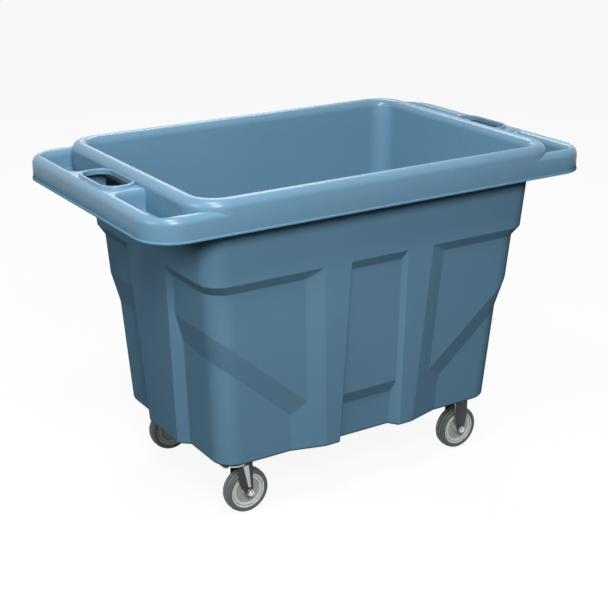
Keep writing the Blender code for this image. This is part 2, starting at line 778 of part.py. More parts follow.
def fork_legs(name, top, left, right, axle_x, finish):
    """Two legs with their axle holes."""
    legs = []
    for side in (-1, 1):
        inner, outer = sorted((side * leg_inner, side * leg_outer))
        leg = prism(name, leg_outline(top, left, right, axle_x), inner, outer, finish, axis="Y")
        hole = prism("axle_hole", circle(AXLE_RADIUS + SEAT_GAP, BOLT_SEGMENTS, (axle_x, WHEEL_RADIUS)),
                     inner - CUT_PAST, outer + CUT_PAST, axis="Y")
        legs.append(cut(leg, hole))
    return legs


def place(made, parent, x, y):
    """Moves the mesh's place onto the object and hangs it under its parent."""
    made.location = (x - parent.location.x, y - parent.location.y, made.location.z - parent.location.z)
    made.parent = parent
    return made


def empty(name, x, y, z):
    made = bpy.data.objects.new(name, None)
    made.location = (x, y, z)
    bpy.context.scene.collection.objects.link(made)
    return made


def swivel_plate(name):
    plate = prism(name, plate_outline(), plate_bottom, plate_top, zinc_plate())
    ring_out = BALL_TRACK_RADIUS + RACE_WIDTH / 2
    inside = plate_bottom + PLATE_THICKNESS / 2
    unite(plate, prism("race", circle(ring_out, WHEEL_SEGMENTS), race_bottom, inside))
    inner = BALL_TRACK_RADIUS - RACE_WIDTH / 2
    cut(plate, prism("race_bore", circle(inner, WHEEL_SEGMENTS), race_bottom - CUT_PAST, plate_bottom))
    drill(plate, 0, 0, KING_PIN_RADIUS + SEAT_GAP, race_bottom - CUT_PAST, plate_top + CUT_PAST, PIN_SEGMENTS)
    drill(plate, 0, 0, KING_PIN_HEAD_RADIUS + SEAT_GAP, plate_top - KING_PIN_RECESS, plate_top + CUT_PAST,
          PIN_SEGMENTS)
    for x, y in bolt_places(0, 0):
        drill(plate, x, y, BOLT_RADIUS + SEAT_GAP, plate_bottom - CUT_PAST, plate_top + CUT_PAST)
    return plate


def ball_ring(name):
    middle = crown_top + SEAT_GAP + BALL_RADIUS
    section = circle(BALL_RADIUS, BALL_SIDES, (BALL_TRACK_RADIUS, middle))
    return lathe(name, section, zinc_plate(), WHEEL_SEGMENTS)


def king_pin(name):
    shank, head = KING_PIN_RADIUS, KING_PIN_HEAD_RADIUS
    low = crown_bottom - SEAT_GAP
    high = plate_top - KING_PIN_RECESS + SEAT_GAP
    profile = [
        (0, low - KING_PIN_HEAD_HEIGHT), (head * 0.7, low - KING_PIN_HEAD_HEIGHT),
        (head, low - KING_PIN_HEAD_HEIGHT / 2), (head, low), (shank, low), (shank, high), (head, high),
        (head, plate_top - SEAT_GAP), (0, plate_top - SEAT_GAP),
    ]
    return lathe(name, profile, zinc_plate(), PIN_SEGMENTS)


def swivel_fork(name):
    fork = prism(name, circle(CROWN_RADIUS, WHEEL_SEGMENTS), crown_bottom, crown_top, zinc_plate())
    left, right = SWIVEL_LEG_BACK, SWIVEL_TRAIL + SWIVEL_LEG_REACH
    yoke = [(left, -leg_outer), (right, -leg_outer), (right, leg_outer), (left, leg_outer)]
    unite(fork, prism("yoke", yoke, crown_bottom, crown_top))
    unite(fork, *fork_legs("leg", crown_top, left, right, SWIVEL_TRAIL, None))
    unite(fork, *(leg_rib(side, left, right, SWIVEL_TRAIL) for side in (-1, 1)))
    drill(fork, 0, 0, KING_PIN_RADIUS + SEAT_GAP, crown_bottom - CUT_PAST, crown_top + CUT_PAST, PIN_SEGMENTS)
    return fork


def rigid_fork(name):
    fork = prism(name, plate_outline(), plate_bottom, plate_top, zinc_plate())
    inside = plate_bottom + PLATE_THICKNESS / 2
    unite(fork, *fork_legs("leg", inside, -RIGID_LEG_HALF, RIGID_LEG_HALF, 0, None))
    for x, y in bolt_places(0, 0):
        drill(fork, x, y, BOLT_RADIUS + SEAT_GAP, plate_bottom - CUT_PAST, plate_top + CUT_PAST)
    return fork


def turned_parts(label, axle_x, side):
    """The sleeve, wheel core, tyre, axle bolt and nut, all about the axle, with the nut outside."""
    centre = (axle_x, 0, WHEEL_RADIUS)
    sleeve_out = AXLE_RADIUS + SEAT_GAP + SLEEVE_WALL
    sleeve_end = leg_inner - SEAT_GAP
    sleeve_in = AXLE_RADIUS + SEAT_GAP
    tube = [(sleeve_in, -sleeve_end), (sleeve_out, -sleeve_end),
            (sleeve_out, sleeve_end), (sleeve_in, sleeve_end)]
    sleeve = lathe(f"axle_sleeve_{label}", tube, zinc_plate(), PIN_SEGMENTS, "Y", centre)

    bore, rim, web, hub = sleeve_out + SEAT_GAP, CORE_RIM_WIDTH / 2, CORE_WEB_WIDTH / 2, HUB_WIDTH / 2
    half = [
        (bore, hub), (HUB_RADIUS, hub), (HUB_RADIUS + HUB_FILLET, web), (CORE_WEB_RADIUS, web),
        (CORE_GROOVE_RADIUS, rim - CORE_GROOVE_DEPTH), (CORE_GROOVE_RADIUS + CORE_GROOVE_DEPTH, rim),
        (CORE_RADIUS, rim),
    ]
    core = lathe(f"wheel_core_{label}", half + [(r, -y) for r, y in reversed(half)], wheel_grey(),
                 WHEEL_SEGMENTS, "Y", centre, flats=True)

    wall, seat = TREAD_WIDTH / 2, CORE_RADIUS + SEAT_GAP
    half = [(seat, wall), (SHOULDER_RADIUS, wall), (WHEEL_RADIUS - SHOULDER_DROP, wall - SHOULDER_IN),
            (WHEEL_RADIUS, TREAD_CROWN_WIDTH / 2)]
    tyre = lathe(f"tyre_{label}", half + [(r, -y) for r, y in reversed(half)], grey_rubber(),
                 WHEEL_SEGMENTS, "Y", centre, flats=True)

    bolt = hex_bolt(f"axle_bolt_{label}", AXLE_RADIUS, AXLE_HEAD_FLATS, AXLE_HEAD_HEIGHT,
                    leg_outer + SEAT_GAP, 2 * (leg_outer + SEAT_GAP) + AXLE_NUT_HEIGHT + AXLE_END)
    nut = prism(f"axle_nut_{label}", hexagon(AXLE_HEAD_FLATS), 0, AXLE_NUT_HEIGHT, zinc_plate())
    drill(nut, 0, 0, AXLE_RADIUS + SEAT_GAP, -CUT_PAST, AXLE_NUT_HEIGHT + CUT_PAST)
    nut.data.transform(Matrix.Translation((0, 0, -leg_outer - SEAT_GAP - AXLE_NUT_HEIGHT)))
    for made in (bolt, nut):
        made.data.transform(Matrix.Translation(centre) @ Matrix.Rotation(math.radians(90 * side), 4, "X"))
    return sleeve, core, tyre, bolt, nut


def hex_bolt(name, radius, flats, head_height, seat, length):
    """A bolt along Z, its head above the seat height and its shank down from there."""
    bolt = prism(name, hexagon(flats), seat, seat + head_height, zinc_plate())
    shank = prism("shank", circle(radius, BOLT_SEGMENTS), seat - length, seat + head_height / 2)
    return unite(bolt, shank)


def nut_plate(name):
    """The plate inside the tub that carries the four nuts of one caster."""
    low = tub_bottom + FLOOR_THICKNESS + SEAT_GAP
    high = low + NUT_PLATE_THICKNESS
    outline = plate_outline(nut_plate_length, nut_plate_width, NUT_PLATE_MARGIN)
    plate = prism(name, outline, low, high, zinc_plate())
    middle, nut_top = (low + high) / 2, high + WELD_NUT_HEIGHT
    for x, y in bolt_places(0, 0):
        unite(plate, prism("nut", hexagon(BOLT_HEAD_FLATS), middle, nut_top, centre=(x, y, 0)))
        drill(plate, x, y, BOLT_RADIUS + SEAT_GAP, low - CUT_PAST, nut_top + CUT_PAST)
    return plate


def mounting_bolt(name):
    """A bolt from below: through the caster plate, the tub's floor and the nut plate."""
    seat = plate_bottom - SEAT_GAP
    clamped = PLATE_THICKNESS + FLOOR_THICKNESS + NUT_PLATE_THICKNESS + 3 * SEAT_GAP
    length = clamped + WELD_NUT_HEIGHT + BOLT_END
    bolt = prism(name, hexagon(BOLT_HEAD_FLATS), seat - BOLT_HEAD_HEIGHT, seat, zinc_plate())
    shank = prism("shank", circle(BOLT_RADIUS, BOLT_SEGMENTS), seat - BOLT_HEAD_HEIGHT / 2, seat + length)
    return unite(bolt, shank)


def make_caster(label, x, side, swivels, root):
    y = side * caster_y
    sleeve, core, tyre, bolt, nut = turned_parts(label, SWIVEL_TRAIL if swivels else 0, side)
    if swivels:
        turning = empty(f"swivel_axis_{label}", x, y, plate_bottom)
        turning.parent = root
        place(swivel_plate(f"top_plate_{label}"), root, x, y)
        place(king_pin(f"king_pin_{label}"), root, x, y)
        place(ball_ring(f"ball_ring_{label}"), root, x, y)
        carried = (swivel_fork(f"swivel_fork_{label}"), sleeve, bolt, nut)
        for made in carried:
            made.data.transform(Matrix.Translation((0, 0, -plate_bottom)))
            made.parent = turning
    else:
        for made in (rigid_fork(f"rigid_fork_{label}"), sleeve, bolt, nut):
            place(made, root, x, y)
        turning = root
    axle_x = x + (SWIVEL_TRAIL if swivels else 0)
    spin = empty(f"wheel_axis_{label}", axle_x, y, WHEEL_RADIUS)
    if swivels:
        spin.location = (SWIVEL_TRAIL, 0, WHEEL_RADIUS - plate_bottom)
    spin.parent = turning
    for made in (core, tyre):
        made.data.transform(Matrix.Translation((-(SWIVEL_TRAIL if swivels else 0), 0, -WHEEL_RADIUS)))
        made.parent = spin
    place(nut_plate(f"nut_plate_{label}"), root, x, y)
    for number, (bolt_x, bolt_y) in enumerate(bolt_places(x, y), 1):
        place(mounting_bolt(f"mounting_bolt_{label}_{number}"), root, bolt_x, bolt_y)


def main():
    clear_scene()
    root = empty("cart", 0, 0, 0)
    for made in make_tub():
        made.parent = root
    for label, x, side, swivels in caster_places():
        make_caster(label, x, side, swivels, root)


main()
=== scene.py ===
import math

import bmesh
import bpy
from mathutils import Matrix, Vector


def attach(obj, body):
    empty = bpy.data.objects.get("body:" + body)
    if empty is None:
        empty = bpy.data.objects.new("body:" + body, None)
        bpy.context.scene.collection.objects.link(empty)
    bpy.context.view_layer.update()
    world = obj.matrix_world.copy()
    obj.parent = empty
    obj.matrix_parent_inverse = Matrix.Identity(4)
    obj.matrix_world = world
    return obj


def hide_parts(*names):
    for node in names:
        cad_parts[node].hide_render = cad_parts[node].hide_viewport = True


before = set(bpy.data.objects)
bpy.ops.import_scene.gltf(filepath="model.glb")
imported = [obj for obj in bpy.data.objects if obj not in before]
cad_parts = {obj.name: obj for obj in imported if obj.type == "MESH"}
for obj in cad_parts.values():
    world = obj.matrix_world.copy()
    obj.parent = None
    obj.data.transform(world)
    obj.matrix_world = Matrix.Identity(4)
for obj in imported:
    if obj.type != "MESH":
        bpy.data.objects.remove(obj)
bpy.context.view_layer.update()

# The tub's sizes, in metres, its heights measured from its underside
TUB_BOTTOM = 0.1355
WALL = 0.005
FLOOR_THICKNESS = 0.007
BOTTOM_HALF_X = 0.371
BOTTOM_HALF_Y = 0.248
DRAFT = math.tan(math.radians(3.5))
TUB_HEIGHT = 0.5965
CORNER_RADIUS = 0.045
BOTTOM_ROUND = 0.006

BELT_HEIGHT = 0.412
BELT_BEVEL = 0.021
RECESS_DEPTH = 0.011
LOWER_RECESS_DEPTH = 0.021
SIDE_PILLAR = (0.1125, 0.1356)
SIDE_PILLAR_RUN = 3.6
END_PILLAR = (0.066, 0.088)
END_PILLAR_RUN = 0.85
STEP_AT_PILLAR = 0.1155
STEP_AT_END = 0.3045
STEP_BAND = 0.058
PANEL = (0.0785, 0.0700)
PANEL_RUN = 0.7
PANEL_DEPTH = 0.011
LOWER_PANEL_DEPTH = 0.021
PANEL_BEVEL = 0.0205
PANEL_STEP = 0.110
PANEL_STEP_BAND = 0.0275

RIM_BEAD = 0.018
SKIRT_DEPTH = 0.068
SKIRT_CORNER_RADIUS = 0.075
SKIRT_LIP_HEIGHT = 0.0035
SKIRT_LIP_OUT = 0.0015
HALF_LENGTH = 0.530
HANDLE_DROP = 0.019
HANDLE_BEAD = 0.016
PLATFORM_HALF = 0.099
PLATFORM_EDGE = 0.006
POCKET_DEPTH = 0.0435
POCKET_CORNER = 0.012
HOLE_TO_RIM = 0.0026
HOLE_LENGTH = 0.137
HOLE_CORNER = 0.028
GRIP_BAR = 0.027
HOLE_FLANGE = 0.0105
HOLE_WALL = 0.004
LIP_HEIGHT = 0.0055
LIP_WIDTH = 0.007
LIP_ROUND = 0.0025
LIP_FOOT = ((0.0015, 0.0), (0.0004, 0.001), (0.0, 0.0025))
MOUTH_ROUND = 0.0015
POCKET_FOOT_ROUND = 0.004
THINNEST_EDGE = 0.001

BEAD_SPRING = TUB_HEIGHT - RIM_BEAD
RIM_X = BOTTOM_HALF_X + DRAFT * BEAD_SPRING - WALL + 2 * RIM_BEAD
RIM_Y = BOTTOM_HALF_Y + DRAFT * BEAD_SPRING - WALL + 2 * RIM_BEAD
RIM_CORNER = CORNER_RADIUS - WALL + 2 * RIM_BEAD
HANDLE_TOP = TUB_HEIGHT - HANDLE_DROP
HANDLE_SPRING = HANDLE_TOP - HANDLE_BEAD
LIP_TOP = HANDLE_TOP + LIP_HEIGHT
SKIRT_BOTTOM = TUB_HEIGHT - SKIRT_DEPTH
SKIRT_FOOT = TUB_BOTTOM + SKIRT_BOTTOM
SKIRT_X = HALF_LENGTH - SKIRT_LIP_OUT
POCKET_FLOOR = HANDLE_TOP - POCKET_DEPTH
HOLE_WIDTH = HALF_LENGTH - GRIP_BAR - RIM_X - HOLE_TO_RIM
HOLE_X = HALF_LENGTH - GRIP_BAR - HOLE_WIDTH / 2
QUARTERS = ((-1, -1), (-1, 1), (1, -1), (1, 1))
TUB_NODES = ("tub_base", "tub_front_wall", "tub_back_wall", "tub_left_wall", "tub_right_wall",
             "front_rim", "back_rim", "left_handle", "right_handle")

# How finely the tub's curves are divided
CORNER_STEPS = 14
BEAD_STEPS = 8
POCKET_STEPS = 8
HOLE_STEPS = 10
SMALL_ARC_STEPS = 4

# Where its faces are divided beside an edge, and how far that may reach into a narrow face
EDGE_OFFSETS = (0.0008, 0.0022)
EDGE_REACH = 0.42
MIDDLE_FROM = 4

# Where its side bevels are divided across
FOLD_SHARES = (0, 0.03, 0.08, 0.15, 0.25, 0.35, 0.45, 0.55, 0.65, 0.75, 0.85, 0.92, 0.97)

# How often its edges are softened, how much each time, and from how many degrees an edge still shows
SOFTENING = 2
SOFTENING_PULL = 0.4
TUB_EDGE_ANGLE = 28

# Points closer than this count as one
MERGE_DISTANCE = 1e-6

# How far a form that is cut away runs past the surface
CUT_PAST = 0.01

# The thin parting lines that the mould leaves on each handle loop
PARTING_Y = 0.088
PARTING_RADIUS = 0.0010
PARTING_PROUD = 0.0005
PARTING_INTO_RIM = 0.004
PARTING_STEPS = 12

# The fillets at the platform's ends
FILLET_RADIUS = 0.0014
FILLET_STEPS = 10

# Casters, in metres, their heights measured from the floor
WHEEL_RADIUS = 0.050
TRAIL = 0.026
SEAT_GAP = 0.0003
PLATE_BOTTOM = 0.1312
LEG_OUTER = 0.0196
BOLT_STEP_X = 0.062
BOLT_STEP_Y = 0.042
BOLT_RADIUS = 0.004
BOLT_FLATS = 0.013
BOLT_HEAD = 0.0053
BOLT_LENGTH = 0.0244
BOLT_THREAD = 0.0145
BOLT_WASHER_RADIUS = 0.0082
WASHER = 0.0012
AXLE_RADIUS = 0.004
AXLE_NUT = 0.0065
AXLE_END = 0.002
AXLE_THREAD = 0.012
AXLE_WASHER_RADIUS = 0.0078
NUT_PLUG = 0.001
THREAD_PITCH = 0.00125
THREAD_DEPTH = 0.0006
THREAD_END = 1.4
CROWN_SHARE = 0.47
CROWN_CHAMFER = 0.0017
CROWN_BOTTOM = 0.119
RIB_OUTSIDE = LEG_OUTER + 0.0002
PLATE_FROM = PLATE_BOTTOM - 0.0005
RACE_BALLS = 20
RACE_RADIUS = 0.018
RACE_HEIGHT = 0.1251
BALL_RADIUS = 0.00275
BROKEN_EDGE = 0.0005
FORK_EDGE = 0.0006
PIN_EDGE = 0.0006
PLATE_EDGE = 0.0007
# How far a rigid fork's face must turn to the side to take the painted highlight
SIDE_HIGHLIGHT_FACING = 0.6

# Angles in degrees from which an edge shows, or is broken, and up to which faces are merged
TURNED_EDGE_ANGLE = 40
SHAPED_EDGE_ANGLE = 32
FASTENER_EDGE_ANGLE = 25
BREAK_FROM = 35
FLAT_WITHIN = 0.5

# Half of each wheel's section as (radius, across) points, and the rings on it that are paler, those on the
# tyre's ridges as painted highlight
TREAD = [(0.0397, 0.0140), (0.0408, 0.0134), (0.0420, 0.0140), (0.0452, 0.0140), (0.0485, 0.0112),
         (0.0494, 0.0062), (0.0496, 0.0052), (0.0500, 0.0050), (0.0500, 0.0044), (0.0496, 0.0042),
         (0.0497, 0.0006)]
TREAD_ROUND = 0.0008
TREAD_RADIUS = 0.0495
RIDGE = (0.0040, 0.0054)
HUB = [(0.0066, 0.0165), (0.0088, 0.0165), (0.0092, 0.0158), (0.0120, 0.0158), (0.0128, 0.0092),
       (0.0150, 0.0086), (0.0205, 0.0090), (0.0212, 0.0084), (0.0272, 0.0084), (0.0284, 0.0112),
       (0.0330, 0.0120), (0.0338, 0.0104), (0.0348, 0.0104), (0.0356, 0.0124), (0.0378, 0.0128),
       (0.0394, 0.0125)]
HUB_ROUND = 0.0005
PALE_RING = (0.0278, 0.0335)
PALE_RIM = 0.0352
PROFILE_STEPS = 3
PROFILE_SHARE = 0.45
WHEEL_SEGMENTS = 128

# Each caster's place, the side that its axle nut is on, and whether it swivels
CASTERS = {
    "left_front": (-0.296, -0.175, -1, True),
    "left_back": (-0.296, 0.175, 1, True),
    "right_front": (0.296, -0.175, -1, False),
    "right_back": (0.296, 0.175, 1, False),
}


def link(name, data, finish=None):
    made = bpy.data.objects.new(name, data)
    bpy.context.scene.collection.objects.link(made)
    if finish:
        data.materials.append(finish)
    return made


def from_bmesh(name, bm, finish=None):
    bmesh.ops.recalc_face_normals(bm, faces=bm.faces)
    mesh = bpy.data.meshes.new(name)
    bm.to_mesh(mesh)
    bm.free()
    return link(name, mesh, finish)


def smooth(piece, degrees):
    """Shades the piece smoothly, apart from edges that turn by more than the given angle."""
    piece.data.shade_smooth()
    piece.data.set_sharp_from_angle(angle=math.radians(degrees))
    return piece


def apply_modifiers(piece):
    """Makes the piece a plain mesh again."""
    bpy.context.view_layer.update()
    graph = bpy.context.evaluated_depsgraph_get()
    mesh = bpy.data.meshes.new_from_object(piece.evaluated_get(graph))
    piece.modifiers.clear()
    old = piece.data
    piece.data = mesh
    mesh.name = piece.name
    bpy.data.meshes.remove(old)
    return piece


# Shapes of the tub

def loft(name, loops):
    """A closed form through level loops, from the lowest to the highest."""
    bm = bmesh.new()
    rows = [[bm.verts.new(point) for point in loop] for loop in loops]
    bm.faces.new(list(reversed(rows[0])))
    bm.faces.new(rows[-1])
    for low, high in zip(rows, rows[1:]):
        for i in range(len(low)):
            j = (i + 1) % len(low)
            bm.faces.new((low[i], low[j], high[j], high[i]))
    return from_bmesh(name, bm)


def rounded_rectangle(x0, x1, y0, y1, radius, z, steps=CORNER_STEPS):
    points = []
    for x, y, start in ((x1, y1, 0), (x0, y1, 90), (x0, y0, 180), (x1, y0, 270)):
        centre_x = x - radius if x == x1 else x + radius
        centre_y = y - radius if y == y1 else y + radius
        for k in range(steps + 1):
            turn = math.radians(start + 90 * k / steps)
            points.append((centre_x + radius * math.cos(turn), centre_y + radius * math.sin(turn), z))
    return points


def centred_rectangle(half_x, half_y, radius, z):
    return rounded_rectangle(-half_x, half_x, -half_y, half_y, radius, z)


def quarter_arc(radius, steps=BEAD_STEPS):
    """How far in and up each step of a quarter circle is from its upright start."""
    turns = [math.radians(90 * k / steps) for k in range(1, steps + 1)]
    return [(radius * (1 - math.cos(t)), radius * math.sin(t)) for t in turns]


def lift(piece):
    """Moves a form from the tub's own heights to the cart's."""
    piece.data.transform(Matrix.Translation((0, 0, TUB_BOTTOM)))
    return piece


def combine(target, other, operation):
    joining = target.modifiers.new(operation, "BOOLEAN")
    joining.operation = operation
    joining.solver = "MANIFOLD"
    joining.object = other
    apply_modifiers(target)
    bpy.data.objects.remove(other, do_unlink=True)
    return target


def unite(target, *others):
    for other in others:
        combine(target, other, "UNION")
    return target


def cut(target, *others):
    for other in others:
        combine(target, other, "DIFFERENCE")
    return target


def half_x(height, inset):
    """Half of the tub's length at a height, less what the face is set in."""
    return BOTTOM_HALF_X + DRAFT * height - inset


def half_y(height, inset):
    """Half of the tub's width at a height, less what the face is set in."""
    return BOTTOM_HALF_Y + DRAFT * height - inset


def leaning(ends, height):
    """Where a leaning edge is at a height, from its places at the bottom and at the belt."""
    return ends[0] + (ends[1] - ends[0]) * height / BELT_HEIGHT


def step_height(x):
    """How high the slanting step is at a place along the long side."""
    corner = half_x(STEP_AT_END, RECESS_DEPTH)
    start = leaning(SIDE_PILLAR, STEP_AT_PILLAR) + SIDE_PILLAR_RUN * RECESS_DEPTH
    slope = (STEP_AT_END - STEP_AT_PILLAR) / (corner - start)
    return STEP_AT_END - slope * max(0.0, corner - x)


def bottom_rows(inset, wall):
    """The rounded foot of a wall as (height, inset) rows."""
    floor = FLOOR_THICKNESS if wall else 0.0
    arc = [(0.0, 0.0)] + quarter_arc(BOTTOM_ROUND, SMALL_ARC_STEPS)
    return [(floor + inwards, inset + BOTTOM_ROUND - up) for inwards, up in arc]


def face_column(ends, run, wall, shift, levels):
    """A column down one edge of a recess, as (along, height, inset) rows."""
    deep, shallow, lower_step, upper_step, bevel_low, belt = levels
    places = [(z, deep, inset) for z, inset in bottom_rows(deep + wall, wall)]
    places += [(lower_step, deep, deep + wall), (upper_step, shallow, shallow + wall),
               (bevel_low, shallow, shallow + wall)]
    rows = [(leaning(ends, z) + run * depth + shift, z, inset) for z, depth, inset in places]
    rows.append((leaning(ends, bevel_low if shallow else belt) + run * shallow + shift, belt, wall))
    return rows


def quarter_columns(wall, top_rows):
    """The columns of a quarter of the tub's side, from the middle of a long side to that of an end."""
    def mitre(slope):
        return wall * math.tan(math.atan(slope) / 2)

    lift_up = mitre(RECESS_DEPTH / BELT_BEVEL)
    bevel_low, belt = BELT_HEIGHT - BELT_BEVEL + lift_up, BELT_HEIGHT + lift_up
    run_on = leaning(SIDE_PILLAR, STEP_AT_PILLAR) + SIDE_PILLAR_RUN * LOWER_RECESS_DEPTH
    panel = (PANEL_STEP - PANEL_STEP_BAND, PANEL_STEP, BELT_HEIGHT - PANEL_BEVEL + lift_up, belt)
    side = (step_height(run_on) - STEP_BAND, STEP_AT_PILLAR, bevel_low, belt)
    end = (STEP_AT_END - STEP_BAND, STEP_AT_END, bevel_low, belt)
    deep, shallow = LOWER_RECESS_DEPTH, RECESS_DEPTH
    at_panel, at_side, at_end = mitre(1 / PANEL_RUN), -mitre(1 / SIDE_PILLAR_RUN), -mitre(1 / END_PILLAR_RUN)
    long_side = [
        face_column(PANEL, -PANEL_RUN, wall, at_panel, (LOWER_PANEL_DEPTH, PANEL_DEPTH, *panel)),
        face_column(PANEL, 0, wall, at_panel, (0, 0, *panel)),
        face_column(SIDE_PILLAR, 0, wall, at_side, (0, 0, *side)),
        face_column(SIDE_PILLAR, SIDE_PILLAR_RUN, wall, at_side, (deep, shallow, *side)),
    ]
    end_side = [
        face_column(END_PILLAR, END_PILLAR_RUN, wall, at_end, (deep, shallow, *end)),
        face_column(END_PILLAR, 0, wall, at_end, (0, 0, *end)),
    ]
    radius = CORNER_RADIUS - wall
    columns = []
    for rows in long_side:
        along = rows[-1][0]
        points = [Vector((x, -half_y(z, inset), z)) for x, z, inset in rows]
        columns.append(points + [Vector((along, -half_y(z, inset), z)) for z, inset in top_rows])

    def corner(z, inset, turn, corner_radius):
        return Vector((half_x(z, inset) - corner_radius * (1 - math.cos(turn)),
                       -half_y(z, inset) + corner_radius * (1 + math.sin(turn)), z))

    for k in range(CORNER_STEPS + 1):
        turn = math.radians(-90 + 90 * k / CORNER_STEPS)
        low_x = corner(STEP_AT_END, deep + wall, turn, radius).x
        high_x = corner(STEP_AT_END, shallow + wall, turn, radius).x
        rows = bottom_rows(deep + wall, wall)
        rows += [(step_height(low_x) - STEP_BAND, deep + wall), (step_height(high_x), shallow + wall),
                 (bevel_low, shallow + wall), (belt, wall)]
        points = [corner(z, inset, turn, radius) for z, inset in rows]
        points += [corner(z, inset, turn, radius + wall - inset) for z, inset in top_rows]
        columns.append(points)
    for rows in end_side:
        along = rows[-1][0]
        points = [Vector((half_x(z, inset), -y, z)) for y, z, inset in rows]
        columns.append(points + [Vector((half_x(z, inset), -along, z)) for z, inset in top_rows])
    return columns


def stations(length):
    """Where a stretch between two edges is divided: close to both ends and once in its middle."""
    near = [offset for offset in EDGE_OFFSETS if offset < EDGE_REACH * length]
    middle = [length / 2] if length > MIDDLE_FROM * EDGE_OFFSETS[-1] else []
    return [0.0] + near + middle + [length - offset for offset in reversed(near)]


def at_station(a, b, place, shared):
    """The point at a station between two edges, measured from the nearer one."""
    full = (b - a).length
    return a.lerp(b, place / full if place <= shared / 2 else 1 - (shared - place) / full)


def refine_columns(columns, spans):
    """Adds columns beside each edge of a face, and evenly shared ones across a bevelled strip."""
    made, marks, folds = [], [], []

    def add(points, mark=None, fold=None):
        made.append(points)
        marks.append(mark)
        folds.append(fold)

    for i, (kind, column) in enumerate(zip(spans, columns)):
        following = columns[(i + 1) % len(columns)]
        if kind == "arc":
            add([point.copy() for point in column])
        elif kind == "face":
            width = min((b - a).length for a, b in zip(column, following))
            for place in stations(width):
                add([at_station(a, b, place, width) for a, b in zip(column, following)])
        else:
            for k, share in enumerate(FOLD_SHARES):
                points = [a.lerp(b, share) for a, b in zip(column, following)]
                add(points, (kind, k), (kind, share, column, following))
    return made, marks, folds


def folded(fold, row, v):
    """A point where a side bevel meets the belt's: two flats, joined on the line to the pillar's corner."""
    kind, u, first, second = fold
    if kind == "fall":
        u, first, second = 1 - u, second, first
    a0, a1, b0, b1 = first[row], first[row + 1], second[row], second[row + 1]
    if u >= v:
        return a0 + u * (b0 - a0) + v * (b1 - b0)
    return a0 + v * (a1 - a0) + u * (b1 - a1)


def refine_rows(columns, folds, rows_from, rows_to, bevel_row):
    """Adds rows beside each edge between two rows, and evenly shared ones across the belt's bevel."""
    made, row_marks = [], []
    for c, column in enumerate(columns):
        points, marks = [], []
        for j in range(len(column) - 1):
            a, b = column[j], column[j + 1]
            if j == bevel_row:
                added = [folded(folds[c], j, share) if folds[c] else a.lerp(b, share)
                         for share in FOLD_SHARES]
            elif rows_from <= j < rows_to:
                shared = min((other[j + 1] - other[j]).length for other in columns)
                added = [at_station(a, b, place, shared) for place in stations(shared)]
            else:
                added = [a]
            points += added
            marks += range(len(added)) if j == bevel_row else [None] * len(added)
        points.append(column[-1])
        made.append(points)
        row_marks = marks
    return made, row_marks


def soften(grid, fixed_top):
    """Rounds the edges: each point moves towards the line between its neighbours, both ways."""
    count, height = len(grid), len(grid[0])
    for _ in range(SOFTENING):
        moved = [[point.copy() for point in column] for column in grid]
        for i in range(count):
            left, right = grid[i - 1], grid[(i + 1) % count]
            for j in range(1, height - fixed_top):
                here = grid[i][j]
                pull = Vector()
                for a, b in ((left[j], right[j]), (grid[i][j - 1], grid[i][j + 1])):
                    da, db = (a - here).length, (b - here).length
                    if min(da, db) > MERGE_DISTANCE:
                        pull += ((a - here) / da + (b - here) / db) / (1 / da + 1 / db)
                moved[i][j] = here + SOFTENING_PULL * pull
        grid = moved
    return grid


def side_form(name, wall, top_rows):
    """The tub's sides and bottom as one closed form, from the four quarters of the grid."""
    quarter = quarter_columns(wall, top_rows)
    across = ["rise", "face", "fall", "face"] + ["arc"] * CORNER_STEPS + ["face", "rise"]
    turned_round = {"rise": "fall", "fall": "rise"}
    ring, spans = [], []
    for number, (sx, sy) in enumerate(((1, 1), (1, -1), (-1, -1), (-1, 1))):
        turned = [[Vector((sx * p.x, sy * p.y, p.z)) for p in column] for column in quarter]
        if number % 2:
            turned.reverse()
            spans += [turned_round.get(kind, kind) for kind in reversed(across)] + ["face"]
        else:
            spans += across + ["face"]
        ring += turned
    # After the foot's rows come the step's two, the bevel's foot and the belt
    foot = len(bottom_rows(0, wall))
    ring, marks, folds = refine_columns(ring, spans)
    grid, row_marks = refine_rows(ring, folds, foot - 1, foot + 4, foot + 2)
    grid = soften(grid, len(top_rows) + 1)
    last = len(FOLD_SHARES) - 1
    bm = bmesh.new()
    verts = [[bm.verts.new((p.x, p.y, p.z + TUB_BOTTOM)) for p in column] for column in grid]
    for i, column in enumerate(verts):
        following = verts[(i + 1) % len(verts)]
        for j in range(len(column) - 1):
            a, b, c, d = column[j], following[j], following[j + 1], column[j + 1]
            kind, k = marks[i] or ("", 0)
            if row_marks[j] is not None and kind == "rise" and k == row_marks[j]:
                bm.faces.new((a, b, c))
                bm.faces.new((a, c, d))
            elif row_marks[j] is not None and kind == "fall" and k == last - row_marks[j]:
                bm.faces.new((a, b, d))
                bm.faces.new((b, c, d))
            else:
                bm.faces.new((a, b, c, d))
    bm.faces.new([column[0] for column in reversed(verts)])
    bm.faces.new([column[-1] for column in verts])
    return from_bmesh(name, bm)


def upright(rows):
    """The same rows with the taper taken out."""
    return [(z, inset + DRAFT * (z - BEAD_SPRING)) for z, inset in rows]


def tub_outside():
    under = RIM_BEAD - WALL
    rows = [(BEAD_SPRING, 0.0)] + [(BEAD_SPRING + up, -inwards) for inwards, up in quarter_arc(under)]
    return side_form("tub_moulding", 0.0, upright(rows + [(TUB_HEIGHT - WALL / 2, -under)]))


def tub_inside():
    rows = [(BEAD_SPRING, WALL)]
    rows += [(BEAD_SPRING + up, WALL - inwards) for inwards, up in quarter_arc(RIM_BEAD)]
    return side_form("tub_space", WALL, upright(rows + [(TUB_HEIGHT + CUT_PAST, WALL - RIM_BEAD)]))


